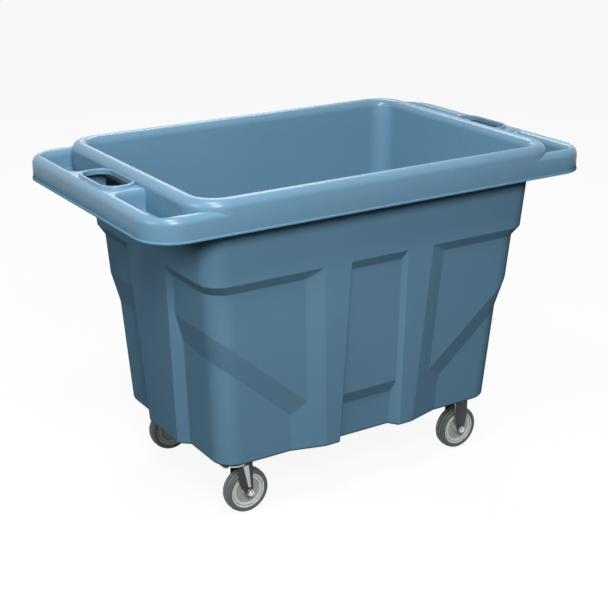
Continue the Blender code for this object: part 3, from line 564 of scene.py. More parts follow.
def capped_block(name, x, y, radius, low, spring, bead, lip=0.0):
    """A block with a rounded top edge, and with a lip round its foot if one is given."""
    loops = [centred_rectangle(x + lip, y + lip, radius + lip, low)]
    if lip:
        loops.append(centred_rectangle(x + lip, y + lip, radius + lip, low + SKIRT_LIP_HEIGHT - lip / 2))
        loops.append(centred_rectangle(x, y, radius, low + SKIRT_LIP_HEIGHT + lip / 2))
    loops.append(centred_rectangle(x, y, radius, spring))
    for inwards, up in quarter_arc(bead):
        loops.append(centred_rectangle(x - inwards, y - inwards, radius - inwards, spring + up))
    return lift(loft(name, loops))


def pocket_form(name, side_x, side_y, wall, bottom, top):
    """The form of a tray beside a hand hole, or with a wall round it."""
    bead = HANDLE_BEAD - wall
    edge = max(PLATFORM_EDGE - wall, THINNEST_EDGE)
    outer_x = SKIRT_X - 2 * HANDLE_BEAD + wall
    outer_y = RIM_Y - 2 * HANDLE_BEAD + wall
    inner_y = PLATFORM_HALF - wall
    inner_x = RIM_X - RIM_CORNER
    radius = POCKET_CORNER + wall
    foot = 0.0 if wall else POCKET_FOOT_ROUND
    rows = [(bottom, -foot)]
    if foot:
        rows += [(bottom + inwards, up - foot) for inwards, up in quarter_arc(foot, SMALL_ARC_STEPS)]
    rows.append((min(top, HANDLE_SPRING), 0.0))
    if top > HANDLE_SPRING:
        rows += [(HANDLE_SPRING + up, inwards) for inwards, up in quarter_arc(bead)]
        rows.append((top, bead))
    loops = []
    for z, flare in rows:
        near = inner_y - flare * (edge / bead if flare > 0 else 1)
        box = (inner_x, outer_x + flare, near, outer_y + flare)
        loops.append(rounded_rectangle(*box, radius + flare, z, POCKET_STEPS))
    made = loft(name, loops)
    made.data.transform(Matrix.Diagonal((side_x, side_y, 1, 1)))
    if side_x * side_y < 0:
        made.data.flip_normals()
    return lift(made)


def hole_block(name, side, grow, rows):
    """A form with the hand hole's outline, grown by the same amount all round and by each row's own."""
    loops = []
    x = side * HOLE_X
    for extra, z in rows:
        wide, long = HOLE_WIDTH / 2 + grow + extra, HOLE_LENGTH / 2 + grow + extra
        corner = HOLE_CORNER + grow + extra
        loops.append(rounded_rectangle(x - wide, x + wide, -long, long, corner, z, HOLE_STEPS))
    return lift(loft(name, loops))


def rim_plan(name, low, high):
    """Everything inside the main rim's outline between two heights."""
    return lift(loft(name, [centred_rectangle(RIM_X, RIM_Y, RIM_CORNER, z) for z in (low, high)]))


def hand_hole_collar(side):
    """The wall round the hand hole under the platform, and the raised lip on top of it."""
    flange = hole_block("flange", side, HOLE_WALL, [(0, LIP_TOP - HOLE_FLANGE), (0, HANDLE_TOP)])
    rows = [(LIP_FOOT[0][0], HANDLE_TOP - WALL / 2)]
    rows += [(extra, HANDLE_TOP + up) for extra, up in LIP_FOOT]
    rows += [(-inwards, LIP_TOP - LIP_ROUND + up) for inwards, up in quarter_arc(LIP_ROUND, SMALL_ARC_STEPS)]
    return unite(flange, hole_block("lip", side, LIP_WIDTH, rows))


def make_tub():
    """The whole moulding: the rim, loops and trays, hollow below, joined to the tub's sides."""
    tub = capped_block("tub_moulding", RIM_X, RIM_Y, RIM_CORNER, SKIRT_BOTTOM + 2 * SKIRT_LIP_HEIGHT,
                       BEAD_SPRING, RIM_BEAD)
    unite(tub, capped_block("handles", SKIRT_X, RIM_Y, SKIRT_CORNER_RADIUS, SKIRT_BOTTOM,
                            HANDLE_SPRING, HANDLE_BEAD, SKIRT_LIP_OUT))
    for sx, sy in QUARTERS:
        unite(tub, pocket_form("pocket_block", sx, sy, WALL, POCKET_FLOOR - WALL, HANDLE_SPRING))
    low = SKIRT_BOTTOM - CUT_PAST
    under = capped_block("under", SKIRT_X - WALL, RIM_Y - WALL, SKIRT_CORNER_RADIUS - WALL,
                         low, HANDLE_SPRING, HANDLE_BEAD - WALL)
    for sx, sy in QUARTERS:
        cut(under, pocket_form("guard", sx, sy, WALL, low - WALL, TUB_HEIGHT))
    unite(under, capped_block("under_rim", RIM_X - WALL, RIM_Y - WALL, RIM_CORNER - WALL,
                              low, BEAD_SPRING, RIM_BEAD - WALL))
    cut(tub, under)
    unite(tub, tub_outside(), hand_hole_collar(-1), hand_hole_collar(1))
    cut(tub, tub_inside())
    top = TUB_HEIGHT + CUT_PAST
    for sx, sy in QUARTERS:
        pocket = pocket_form("pocket", sx, sy, 0.0, POCKET_FLOOR, top)
        cut(tub, cut(pocket, rim_plan("main_rim", POCKET_FLOOR - CUT_PAST, top + CUT_PAST)))
    arc = reversed(quarter_arc(MOUTH_ROUND, SMALL_ARC_STEPS))
    mouth = [(MOUTH_ROUND - inwards, LIP_TOP - up) for inwards, up in arc]
    rows = [(0, SKIRT_BOTTOM - CUT_PAST), *mouth, (MOUTH_ROUND, LIP_TOP), (MOUTH_ROUND, top)]
    for side in (-1, 1):
        cut(tub, hole_block("hole", side, 0, rows))
    return tub


# Finishes

BODY_BLUE = (0.100, 0.205, 0.296)
RIM_POLISH = 0.36
POLISHED_FROM = SKIRT_FOOT + 0.008
POLISHED_ABOVE = TUB_BOTTOM + HANDLE_TOP - 0.002


def feed(tree, node, **inputs):
    """Sets a node's inputs to values, or links sockets to them, by name or by number."""
    for key, value in inputs.items():
        socket = node.inputs[int(key[1:]) if key[0] == "_" else key.replace("_", " ")]
        for one in value if isinstance(value, list) else [value]:
            if isinstance(one, bpy.types.NodeSocket):
                tree.links.new(one, socket)
            else:
                socket.default_value = one


def step(tree, kind, settings=None, output=0, **inputs):
    """Adds one node to a tree. Gives one of its outputs."""
    node = tree.nodes.new(tree.bl_idname.removesuffix("Tree") + kind)
    for key, value in (settings or {}).items():
        setattr(node, key, value)
    feed(tree, node, **inputs)
    return node.outputs[output]


def new_finish(name):
    """A material, its tree, its shader and the object's own coordinates."""
    made = bpy.data.materials.new(name)
    made.use_nodes = True
    tree = made.node_tree
    return made, tree, tree.nodes["Principled BSDF"], step(tree, "TexCoord", output="Object")


def noise(tree, where, scale, detail, roughness=0.55):
    return step(tree, "TexNoise", Vector=where, Scale=scale, Detail=detail, Roughness=roughness)


def ramp(tree, factor, low, high, start=0.3, stop=0.7):
    """Runs from one tint, or grey, to another as the factor goes from start to stop."""
    made = tree.nodes.new("ShaderNodeValToRGB")
    for element, position, tint in zip(made.color_ramp.elements, (start, stop), (low, high)):
        element.position = position
        element.color = (*(tint if isinstance(tint, tuple) else (tint, tint, tint)), 1)
    tree.links.new(factor, made.inputs["Fac"])
    return made.outputs["Color"]


def bump(tree, height, distance, strength, **below):
    return step(tree, "Bump", Height=height, Distance=distance, Strength=strength, **below)


def blend(tree, factor, first, second, kind="MIX"):
    settings = {"data_type": "RGBA", "blend_type": kind}
    return step(tree, "Mix", settings, 2, Factor=factor, _6=first, _7=second)


def moulded_plastic():
    """The tub's plastic, dull on its sides and polished by hands on the rim and the handles."""
    made, tree, shader, where = new_finish("moulded_blue_plastic")
    body = ramp(tree, noise(tree, where, 4.0, 3.0), BODY_BLUE, tuple(part * 1.07 for part in BODY_BLUE))
    flecks = ramp(tree, noise(tree, where, 420.0, 2.0, 0.6), 0.965, 1.03)
    patches = ramp(tree, noise(tree, where, 11.0, 6.0, 0.6), 0.25, 0.32, stop=0.72)
    ripple = bump(tree, noise(tree, where, 38.0, 2.0), 0.0003, 0.12)
    grain = bump(tree, noise(tree, where, 520.0, 2.0), 0.00004, 0.35, Normal=ripple)
    height = step(tree, "SeparateXYZ", output="Z", Vector=where)
    polish = step(tree, "MapRange", {"interpolation_type": "SMOOTHSTEP"}, Value=height,
                  From_Min=POLISHED_FROM, From_Max=POLISHED_ABOVE, To_Min=0.0, To_Max=RIM_POLISH)
    feed(tree, shader, Base_Color=blend(tree, 1.0, body, flecks, "MULTIPLY"), Roughness=patches,
         Normal=grain, Specular_IOR_Level=polish)
    return made


def zinc_steel(name, tint, dull, metallic=1.0):
    """Plated steel with a fine spangle and smears of duller plating."""
    made, tree, shader, where = new_finish(name)
    spangle = ramp(tree, noise(tree, where, 230.0, 5.0, 0.65), tuple(part * 0.78 for part in tint), tint)
    smears = ramp(tree, noise(tree, where, 45.0, 6.0, 0.6), dull - 0.07, dull + 0.1)
    feed(tree, shader, Base_Color=spangle, Roughness=smears, Metallic=metallic,
         Normal=bump(tree, noise(tree, where, 900.0, 3.0), 0.00006, 0.4))
    return made


def tyre_rubber(name, low, high):
    """Matt rubber between two tints, as dust lies on it."""
    made, tree, shader, where = new_finish(name)
    dust = noise(tree, where, 90.0, 7.0, 0.65)
    feed(tree, shader, Base_Color=ramp(tree, dust, low, high, 0.35, 0.72),
         Roughness=ramp(tree, dust, 0.55, 0.75),
         Normal=bump(tree, noise(tree, where, 800.0, 3.0), 0.0002, 0.5))
    return made


def core_plastic(name, low, high, dull):
    """A satin plastic between two tints."""
    made, tree, shader, where = new_finish(name)
    cloud = noise(tree, where, 70.0, 5.0)
    feed(tree, shader, Base_Color=ramp(tree, cloud, low, high),
         Roughness=ramp(tree, cloud, dull, dull + 0.1),
         Normal=bump(tree, noise(tree, where, 900.0, 2.0), 0.00008, 0.4))
    return made


PLASTIC = moulded_plastic()
ZINC = zinc_steel("bright_zinc", (0.66, 0.67, 0.69), 0.28)
# Paler zinc: painted highlight on the swivel forks' ribs and the rigid forks' faces turned to the sides, and
# the plain colour of the rigid forks' plates
PALE_ZINC_AND_HIGHLIGHT = zinc_steel("pale_zinc_and_painted_highlight", (0.50, 0.50, 0.53), 0.38)
# Near-black zinc for the forks' flats and the swivel heads' top plates: painted shade and painted dark
# reflection
PAINTED_SHADE_ZINC = zinc_steel("fork_zinc_painted_shade", (0.030, 0.031, 0.033), 0.42, 0.35)
RUBBER = tyre_rubber("grey_tyre_rubber", (0.070, 0.085, 0.083), (0.105, 0.124, 0.122))
# Much paler rubber for the tyre's ridges: a painted highlight along the tread's shoulders
RIDGE_HIGHLIGHT_RUBBER = tyre_rubber("tyre_ridge_painted_highlight", (0.28, 0.31, 0.31), (0.36, 0.39, 0.39))
CORE = core_plastic("grey_wheel_plastic", (0.30, 0.33, 0.30), (0.38, 0.41, 0.38), 0.40)
CORE_RIM = core_plastic("pale_wheel_rim_plastic", (0.60, 0.63, 0.61), (0.70, 0.73, 0.71), 0.30)


# Pieces grown by node trees

TURNING_RADIUS = 0.02
ROUND_STEPS = 48
SHANK_STEPS = 24
BEAD_SECTION_STEPS = 10


def new_tree(name, **inputs):
    """A geometry tree with named inputs of each kind. Gives the tree and its input sockets by name."""
    tree = bpy.data.node_groups.new(name, "GeometryNodeTree")
    tree.interface.new_socket("Geometry", in_out="OUTPUT", socket_type="NodeSocketGeometry")
    tree.interface.new_socket("Geometry", in_out="INPUT", socket_type="NodeSocketGeometry")
    for kind, labels in {**inputs, "Material": ("Finish",)}.items():
        for label in labels:
            tree.interface.new_socket(label, in_out="INPUT", socket_type="NodeSocket" + kind)
    given = tree.nodes.new("NodeGroupInput")
    return tree, {socket.name: socket for socket in given.outputs if socket.name}


def close_tree(tree, given, geometry):
    """Ends a tree with real, merged geometry in the given finish."""
    real = step(tree, "RealizeInstances", Geometry=geometry)
    merged = step(tree, "MergeByDistance", Geometry=real, Distance=MERGE_DISTANCE)
    finished = step(tree, "SetMaterial", Geometry=merged, Material=given["Finish"])
    feed(tree, tree.nodes.new("NodeGroupOutput"), Geometry=finished)


def grown(name, tree, mesh=None, **values):
    """The plain mesh that a tree makes from the given values."""
    piece = link(name, mesh or bpy.data.meshes.new(name))
    grow = piece.modifiers.new("grow", "NODES")
    grow.node_group = tree
    sockets = {item.name: item.identifier for item in tree.interface.items_tree if item.in_out == "INPUT"}
    for key, value in values.items():
        grow[sockets[key.replace("_", " ")]] = value
    return apply_modifiers(piece)


def profile_mesh(name, points):
    """A closed profile of (radius, along) points to be turned, ordered so that its faces look outwards."""
    flat = [(radius - TURNING_RADIUS, along, 0) for radius, along in points]
    area = sum(a[0] * b[1] - b[0] * a[1] for a, b in zip(flat, flat[1:] + flat[:1]))
    if area < 0:
        flat.reverse()
    mesh = bpy.data.meshes.new(name)
    mesh.from_pydata(flat, [(k, (k + 1) % len(flat)) for k in range(len(flat))], [])
    return mesh


def turned_body(tree, given, segments):
    profile = step(tree, "MeshToCurve", Mesh=given["Geometry"])
    round_path = step(tree, "CurvePrimitiveCircle", Resolution=segments, Radius=TURNING_RADIUS)
    return step(tree, "CurveToMesh", Curve=round_path, Profile_Curve=profile)


def turning_tree():
    """Turns a closed profile about an axis."""
    tree, given = new_tree("turned_about_an_axis", Int=("Segments",), Rotation=("Turn",), Vector=("Place",))
    close_tree(tree, given, step(tree, "Transform", Geometry=turned_body(tree, given, given["Segments"]),
                                 Translation=given["Place"], Rotation=given["Turn"]))
    return tree


def hexagon_body(tree, given):
    """A hexagon head with a chamfered crown, standing on its seat, with a washer under it."""
    prism = step(tree, "MeshCylinder", Vertices=6, Radius=given["Corner Radius"], Depth=given["Head Height"])
    crown = step(tree, "MeshCone", Vertices=ROUND_STEPS, Radius_Top=given["Crown Radius"],
                 Radius_Bottom=given["Skirt Radius"], Depth=given["Head Height"])
    head = step(tree, "MeshBoolean", {"operation": "INTERSECT", "solver": "EXACT"}, Mesh=[prism, crown])
    raised = step(tree, "Transform", Geometry=head, Translation=given["Head Middle"])
    washer = step(tree, "MeshCylinder", Vertices=ROUND_STEPS, Radius=given["Washer Radius"],
                  Depth=given["Washer Height"])
    washer = step(tree, "Transform", Geometry=washer, Translation=given["Washer Middle"])
    return [raised, washer]


def fastener_tree():
    """Rows of hexagon heads on washers, each with a turned shank, for bolts and for nuts."""
    tree, given = new_tree(
        "hexagon_fasteners", Int=("Count Along", "Count Across"), Rotation=("Turn",),
        Float=("Corner Radius", "Crown Radius", "Skirt Radius", "Head Height",
               "Washer Radius", "Washer Height"),
        Vector=("Head Middle", "Washer Middle", "First Place", "Step Along", "Step Across"))
    shank = turned_body(tree, given, SHANK_STEPS)
    whole = step(tree, "JoinGeometry", Geometry=[shank, *hexagon_body(tree, given)])
    along = step(tree, "MeshLine", Count=given["Count Along"], Start_Location=given["First Place"],
                 Offset=given["Step Along"])
    across = step(tree, "MeshLine", Count=given["Count Across"], Offset=given["Step Across"])
    places = step(tree, "RealizeInstances",
                  Geometry=step(tree, "InstanceOnPoints", Points=along, Instance=across))
    set_out = step(tree, "InstanceOnPoints", Points=places, Instance=whole, Rotation=given["Turn"])
    close_tree(tree, given, set_out)
    return tree


def ball_tree():
    """A ring of balls."""
    tree, given = new_tree("ring_of_balls", Int=("Count",), Float=("Track Radius", "Ball Radius"),
                           Vector=("Place",))
    track = step(tree, "MeshCircle", Vertices=given["Count"], Radius=given["Track Radius"])
    ball = step(tree, "MeshIcoSphere", Radius=given["Ball Radius"], Subdivisions=3)
    balls = step(tree, "InstanceOnPoints", Points=track, Instance=ball)
    real = step(tree, "RealizeInstances", Geometry=balls)
    smoothed = step(tree, "SetShadeSmooth", Geometry=real)
    close_tree(tree, given, step(tree, "Transform", Geometry=smoothed, Translation=given["Place"]))
    return tree


def beading_tree():
    """A thin round bead along a line."""
    tree, given = new_tree("bead_along_a_line", Float=("Radius",))
    path = step(tree, "MeshToCurve", Mesh=given["Geometry"])
    section = step(tree, "CurvePrimitiveCircle", Resolution=BEAD_SECTION_STEPS, Radius=given["Radius"])
    close_tree(tree, given, step(tree, "CurveToMesh", Curve=path, Profile_Curve=section, Fill_Caps=True))
    return tree


TURNING = turning_tree()
FASTENERS = fastener_tree()
BALLS = ball_tree()
BEADING = beading_tree()


# Pieces of the casters

def rounded_profile(points, radius):
    """The outline with each corner rounded by a quadratic curve."""
    made = []
    count = len(points)
    for i, (r, a) in enumerate(points):
        here = Vector((r, a))
        before, after = Vector(points[i - 1]), Vector(points[(i + 1) % count])
        size_b, size_a = (before - here).length, (after - here).length
        start = here + (before - here) * min(radius / size_b, PROFILE_SHARE)
        stop = here + (after - here) * min(radius / size_a, PROFILE_SHARE)
        for k in range(PROFILE_STEPS + 1):
            t = k / PROFILE_STEPS
            made.append(tuple(start * (1 - t) ** 2 + here * 2 * t * (1 - t) + stop * t ** 2))
    return made


def turned(name, half, corner_radius, finish, centre):
    """A ring about a level axle, from half of its section as (radius, across) points."""
    section = rounded_profile(half + [(radius, -across) for radius, across in reversed(half)], corner_radius)
    piece = grown(name, TURNING, profile_mesh(name, section), Segments=WHEEL_SEGMENTS,
                  Turn=(math.radians(90), 0, 0), Place=centre, Finish=finish)
    return smooth(piece, TURNED_EDGE_ANGLE)


def finish_by_place(piece, finish, chosen):
    """Gives a second finish to the faces that a rule picks by their centre and direction."""
    piece.data.materials.append(finish)
    number = len(piece.data.materials) - 1
    for face in piece.data.polygons:
        if chosen(face.center, face.normal):
            face.material_index = number


def stands_for(piece, body, slot, *nodes):
    """Sets the body that the piece rides and the CAD nodes that it replaces. The slot is not used."""
    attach(piece, body)
    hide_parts(*nodes)


def make_wheel(label, axle_x, y):
    """The tyre with its ridges paler as painted highlight, and the wheel's core with its pale rings."""
    centre = (axle_x, y, WHEEL_RADIUS)
    tyre = turned(f"tyre_shaped_{label}", TREAD, TREAD_ROUND, RUBBER, centre)
    core = turned(f"wheel_core_shaped_{label}", HUB, HUB_ROUND, CORE, centre)

    def radius(point):
        return math.hypot(point.x - axle_x, point.z - WHEEL_RADIUS)

    finish_by_place(tyre, RIDGE_HIGHLIGHT_RUBBER,
                    lambda p, n: radius(p) > TREAD_RADIUS and RIDGE[0] < abs(p.y - y) < RIDGE[1])
    finish_by_place(core, CORE_RIM,
                    lambda p, n: radius(p) > PALE_RIM or PALE_RING[0] < radius(p) < PALE_RING[1])
    stands_for(tyre, f"wheel_{label}", "grey_rubber", f"tyre_{label}")
    stands_for(core, f"wheel_{label}", "wheel_grey", f"wheel_core_{label}")


def shaped_copy(node, name, finish, width=BROKEN_EDGE):
    """A merged copy of a CAD solid with its edges broken."""
    bm = bmesh.new()
    bm.from_mesh(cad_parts[node].data)
    bmesh.ops.remove_doubles(bm, verts=bm.verts, dist=MERGE_DISTANCE)
    bmesh.ops.dissolve_limit(bm, angle_limit=math.radians(FLAT_WITHIN), verts=bm.verts, edges=bm.edges)
    mesh = bpy.data.meshes.new(name)
    bm.to_mesh(mesh)
    bm.free()
    piece = link(name, mesh, finish)
    edges = piece.modifiers.new("broken_edges", "BEVEL")
    edges.width, edges.segments, edges.limit_method = width, 2, "ANGLE"
    edges.angle_limit = math.radians(BREAK_FROM)
    apply_modifiers(piece)
    return smooth(piece, SHAPED_EDGE_ANGLE)


def threaded_shank(radius, top, length, threaded):
    """The profile of a shank from its head down, with a rolled thread on the last stretch."""
    points = [(radius, top), (radius, -(length - threaded))]
    turns = int(threaded / THREAD_PITCH) - 1
    for k in range(turns):
        low = -(length - threaded) - k * THREAD_PITCH
        points += [(radius - THREAD_DEPTH, low - THREAD_PITCH / 2), (radius, low - THREAD_PITCH)]
    points += [(radius - THREAD_DEPTH * THREAD_END, -length), (0.0, -length), (0.0, top)]
    return points


def fasteners(name, shank, height, washer_radius, first, turn, steps=(0, 0)):
    """Hexagon heads on washers, one or two each way, their shanks pointing away from their crowns."""
    profile = profile_mesh(name, [(radius, -along) for radius, along in shank])
    corner, crown = BOLT_FLATS / math.sqrt(3), BOLT_FLATS * CROWN_SHARE
    slope = (corner - crown) / CROWN_CHAMFER
    piece = grown(name, FASTENERS, profile, Corner_Radius=corner, Crown_Radius=crown,
                  Skirt_Radius=crown + slope * height, Head_Height=height,
                  Head_Middle=(0, 0, WASHER + height / 2), Washer_Radius=washer_radius, Washer_Height=WASHER,
                  Washer_Middle=(0, 0, WASHER / 2), Count_Along=2 if steps[0] else 1,
                  Count_Across=2 if steps[1] else 1, First_Place=first, Step_Along=(steps[0], 0, 0),
                  Step_Across=(0, steps[1], 0), Turn=turn, Finish=ZINC)
    return smooth(piece, FASTENER_EDGE_ANGLE)


def make_mounting(label, x, y):
    """The four bolts from below and the nut plate inside the tub."""
    first = (x - BOLT_STEP_X / 2, y - BOLT_STEP_Y / 2, PLATE_BOTTOM - SEAT_GAP)
    shank = threaded_shank(BOLT_RADIUS, WASHER, BOLT_LENGTH, BOLT_THREAD)
    bolts = fasteners(f"mounting_bolts_shaped_{label}", shank, BOLT_HEAD, BOLT_WASHER_RADIUS, first,
                      (math.pi, 0, 0), (BOLT_STEP_X, BOLT_STEP_Y))
    stands_for(bolts, "cart", "zinc_plate", *(f"mounting_bolt_{label}_{n}" for n in (1, 2, 3, 4)))
    plate = shaped_copy(f"nut_plate_{label}", f"nut_plate_shaped_{label}", ZINC)
    stands_for(plate, "cart", "zinc_plate", f"nut_plate_{label}")


def joined(piece, other):
    """Adds the other piece's mesh to the first and removes the other."""
    bm = bmesh.new()
    bm.from_mesh(piece.data)
    bm.from_mesh(other.data)
    bm.to_mesh(piece.data)
    bm.free()
    bpy.data.objects.remove(other, do_unlink=True)
    return piece


def make_axle(label, axle_x, y, side, body):
    """The bolt through the wheel, its head on the inner leg and its nut on the outer one."""
    seat = LEG_OUTER + SEAT_GAP
    head = AXLE_NUT - WASHER
    shank = threaded_shank(AXLE_RADIUS, WASHER, 2 * seat + AXLE_NUT + AXLE_END, AXLE_THREAD)
    bolt = fasteners(f"axle_bolt_shaped_{label}", shank, BOLT_HEAD - WASHER, AXLE_WASHER_RADIUS,
                     (axle_x, y - side * seat, WHEEL_RADIUS), (math.radians(90 * side), 0, 0))
    plug = [(AXLE_RADIUS, head), (AXLE_RADIUS, NUT_PLUG), (0.0, NUT_PLUG), (0.0, head)]
    nut = fasteners(f"axle_nut_{label}_shaped", plug, head, AXLE_WASHER_RADIUS,
                    (axle_x, y + side * seat, WHEEL_RADIUS), (math.radians(-90 * side), 0, 0))
    both = smooth(joined(bolt, nut), FASTENER_EDGE_ANGLE)
    stands_for(both, body, "zinc_plate", f"axle_bolt_{label}", f"axle_nut_{label}")


def make_fork(label, y, swivels):
    """The fork in near-black zinc as painted shade and dark reflection, the swivel fork's ribs and the rigid
    fork's faces turned to the sides paler as painted highlight, and its plate or crown in paler zinc.
    """
    kind = "swivel_fork" if swivels else "rigid_fork"
    fork = shaped_copy(f"{kind}_{label}", f"{kind}_shaped_{label}", PAINTED_SHADE_ZINC, FORK_EDGE)
    if swivels:
        finish_by_place(fork, PALE_ZINC_AND_HIGHLIGHT, lambda p, n: abs(p.y - y) > RIB_OUTSIDE and p.z < CROWN_BOTTOM)
        finish_by_place(fork, ZINC, lambda p, n: p.z > CROWN_BOTTOM)
    else:
        # Faces turned to the sides get the paler zinc as painted highlight
        finish_by_place(fork, PALE_ZINC_AND_HIGHLIGHT, lambda p, n: p.z < PLATE_BOTTOM and abs(n.x) > SIDE_HIGHLIGHT_FACING)
        finish_by_place(fork, PALE_ZINC_AND_HIGHLIGHT, lambda p, n: p.z > PLATE_FROM)
    stands_for(fork, f"swivel_{label}" if swivels else "cart", "zinc_plate", f"{kind}_{label}")


def make_head(label, x, y):
    """The swivel head's plate, king pin and balls."""
    # The top plate takes the near-black zinc as painted shade under the tub
    for kind, width, finish in (("top_plate", PLATE_EDGE, PAINTED_SHADE_ZINC), ("king_pin", PIN_EDGE, ZINC)):
        piece = shaped_copy(f"{kind}_{label}", f"{kind}_shaped_{label}", finish, width)
        stands_for(piece, "cart", "zinc_plate", f"{kind}_{label}")
    balls = grown(f"race_balls_{label}", BALLS, Count=RACE_BALLS, Track_Radius=RACE_RADIUS,
                  Ball_Radius=BALL_RADIUS, Place=(x, y, RACE_HEIGHT), Finish=ZINC)
    stands_for(balls, "cart", "zinc_plate", f"ball_ring_{label}")


# Thin pieces on the tub

def beads_along(name, lines, radius):
    """Thin round beads of the tub's plastic, one along each line of points."""
    points, edges = [], []
    for line in lines:
        edges += [(len(points) + k, len(points) + k + 1) for k in range(len(line) - 1)]
        points += line
    mesh = bpy.data.meshes.new(name)
    mesh.from_pydata(points, edges, [])
    beads = smooth(grown(name, BEADING, mesh, Radius=radius, Finish=PLASTIC), TURNED_EDGE_ANGLE)
    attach(beads, "cart")


def make_parting_lines():
    """The raised lines across each handle loop, from the skirt's lip over the bead to the main rim."""
    out = SKIRT_X + PARTING_PROUD - PARTING_RADIUS
    bead = HANDLE_BEAD + PARTING_PROUD - PARTING_RADIUS
    line = [(out, SKIRT_BOTTOM + 2 * SKIRT_LIP_HEIGHT), (out, HANDLE_SPRING)]
    line += [(out - inwards, HANDLE_SPRING + up) for inwards, up in quarter_arc(bead, PARTING_STEPS)]
    line.append((RIM_X - PARTING_INTO_RIM, HANDLE_SPRING + bead))
    beads_along("parting_lines", [[(sx * x, sy * PARTING_Y, z + TUB_BOTTOM) for x, z in line]
                                  for sx, sy in QUARTERS], PARTING_RADIUS)


def make_platform_fillets():
    """The upright fillets where the platform's ends meet the main rim, inside each pocket."""
    line = [(PLATFORM_HALF, POCKET_FLOOR), (PLATFORM_HALF, HANDLE_SPRING)]
    line += [(PLATFORM_HALF - inwards * PLATFORM_EDGE / HANDLE_BEAD, HANDLE_SPRING + up)
             for inwards, up in quarter_arc(HANDLE_BEAD, FILLET_STEPS)]
    beads_along("platform_fillets", [[(sx * RIM_X, sy * y, z + TUB_BOTTOM) for y, z in line]
                                     for sx, sy in QUARTERS], FILLET_RADIUS)


# The whole cart

tub = make_tub()
tub.data.materials.clear()
tub.data.materials.append(PLASTIC)
smooth(tub, TUB_EDGE_ANGLE)
stands_for(tub, "cart", "moulded_blue", *TUB_NODES)

make_parting_lines()
make_platform_fillets()

for label, (x, y, side, swivels) in CASTERS.items():
    axle_x = x + (TRAIL if swivels else 0)
    make_wheel(label, axle_x, y)
    make_mounting(label, x, y)
    make_fork(label, y, swivels)
    make_axle(label, axle_x, y, side, f"swivel_{label}" if swivels else "cart")
    if swivels:
        make_head(label, x, y)

for name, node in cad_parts.items():
    if name.startswith("axle_sleeve"):
        for slot in node.material_slots:
            slot.material = ZINC


# Floor, light and camera

ROOM_LIGHT = 0.09
FLOOR_THROW = 0.05
FLOOR_WHITE = 0.92
FLOOR_HALF = 12.0
FLOOR_DROP = 0.0005
AIM_HEIGHT = 0.4

# Each light's turn from the front and rise in degrees, distance, width and height in metres, and watts
LIGHTS = {
    "front_key": (-26, 34, 3.2, 0.9, 0.9, 80),
    "left_fill": (-82, 26, 3.2, 1.3, 1.0, 27),
    "high_left": (-42, 62, 2.9, 0.7, 0.7, 50),
    "back_top": (150, 50, 3.2, 1.4, 1.0, 36),
    "low_back": (157, 23, 3.2, 1.3, 0.5, 6),
}

CAMERA_PLACE = (-1.4847, -2.3136, 1.3807)
CAMERA_TURN = -32.494
CAMERA_RISE = 20.408
CAMERA_LENS = 77.28


def seen_directly(tree, paths):
    """1 for the camera's rays and for those in gloss or through glass."""
    total = paths["Is Camera Ray"]
    for name in ("Is Glossy Ray", "Is Transmission Ray"):
        total = step(tree, "Math", {"operation": "MAXIMUM"}, _0=total, _1=paths[name])
    return total


def pale_floor():
    """White to the camera and in reflections, its shadow kept, and darker for the light it throws back."""
    made, tree, shader, where = new_finish("pale_floor")
    paths = tree.nodes.new("ShaderNodeLightPath").outputs
    pale = ramp(tree, noise(tree, where, 3.0, 4.0), 0.80, 0.83)
    thrown = (FLOOR_THROW, FLOOR_THROW, FLOOR_THROW, 1)
    feed(tree, shader, Base_Color=blend(tree, paths["Is Diffuse Ray"], pale, thrown), Roughness=0.7,
         Specular_IOR_Level=0.1)
    share = step(tree, "Math", {"operation": "MULTIPLY"}, _0=seen_directly(tree, paths), _1=FLOOR_WHITE)
    glow = step(tree, "Emission", Color=(1, 1, 1, 1), Strength=1.0)
    surface = step(tree, "MixShader", _0=share, _1=shader.outputs[0], _2=glow)
    feed(tree, tree.nodes["Material Output"], Surface=surface)
    return made


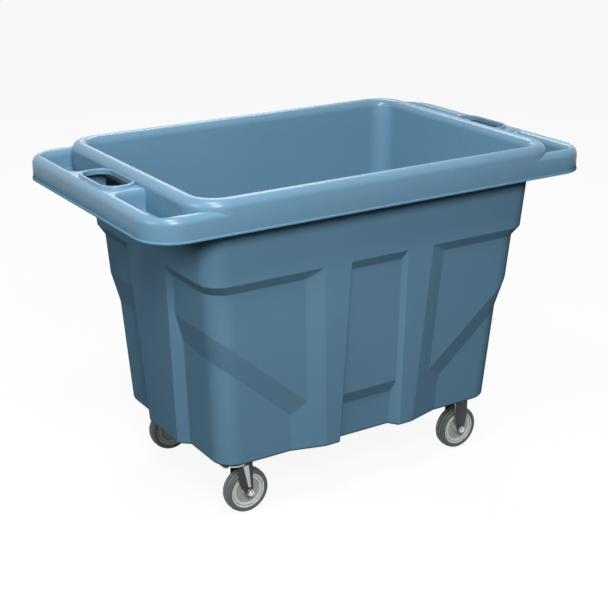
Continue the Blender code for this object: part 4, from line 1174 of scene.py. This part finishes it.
def stage_floor():
    bm = bmesh.new()
    bmesh.ops.create_grid(bm, x_segments=8, y_segments=8, size=FLOOR_HALF)
    floor = from_bmesh("studio_floor", bm, pale_floor())
    floor.data.transform(Matrix.Translation((0, 0, -FLOOR_DROP)))


def soft_world():
    """A dim, even room for the light, white to the camera and in reflections."""
    world = bpy.data.worlds.new("studio")
    bpy.context.scene.world = world
    world.use_nodes = True
    tree = world.node_tree
    room = tree.nodes["Background"]
    feed(tree, room, Color=(0.93, 0.96, 1.0, 1), Strength=ROOM_LIGHT)
    seen = step(tree, "Background", Color=(1, 1, 1, 1), Strength=1.0)
    share = seen_directly(tree, tree.nodes.new("ShaderNodeLightPath").outputs)
    surface = step(tree, "MixShader", _0=share, _1=room.outputs[0], _2=seen)
    feed(tree, tree.nodes["World Output"], Surface=surface)


def outwards(azimuth, elevation):
    """The way out from the cart, turned from its front and raised, in degrees."""
    turn, rise = math.radians(azimuth), math.radians(elevation)
    return math.sin(turn) * math.cos(rise), -math.cos(turn) * math.cos(rise), math.sin(rise)


def placed(name, data, place, facing):
    made = link(name, data)
    made.location = place
    made.rotation_euler = Vector(facing).to_track_quat("-Z", "Y").to_euler()
    return made


def soft_light(name, azimuth, elevation, distance, width, height, watts):
    """A soft rectangle of light aimed at the middle of the cart."""
    data = bpy.data.lights.new(name, "AREA")
    data.shape = "RECTANGLE"
    data.size, data.size_y = width, height
    data.energy = watts
    x, y, z = (distance * part for part in outwards(azimuth, elevation))
    place = (x, y, AIM_HEIGHT + z)
    placed(name, data, place, Vector((0, 0, AIM_HEIGHT)) - Vector(place))


def make_camera():
    """The camera as it was fitted to the photo."""
    data = bpy.data.cameras.new("photo_view")
    data.lens = CAMERA_LENS
    data.sensor_width = 36.0
    data.clip_start = 0.05
    back = Vector(outwards(CAMERA_TURN, CAMERA_RISE))
    bpy.context.scene.camera = placed("photo_view", data, CAMERA_PLACE, -back)


stage_floor()
soft_world()
for name, settings in LIGHTS.items():
    soft_light(name, *settings)
make_camera()
bpy.context.scene.view_settings.view_transform = "Standard"
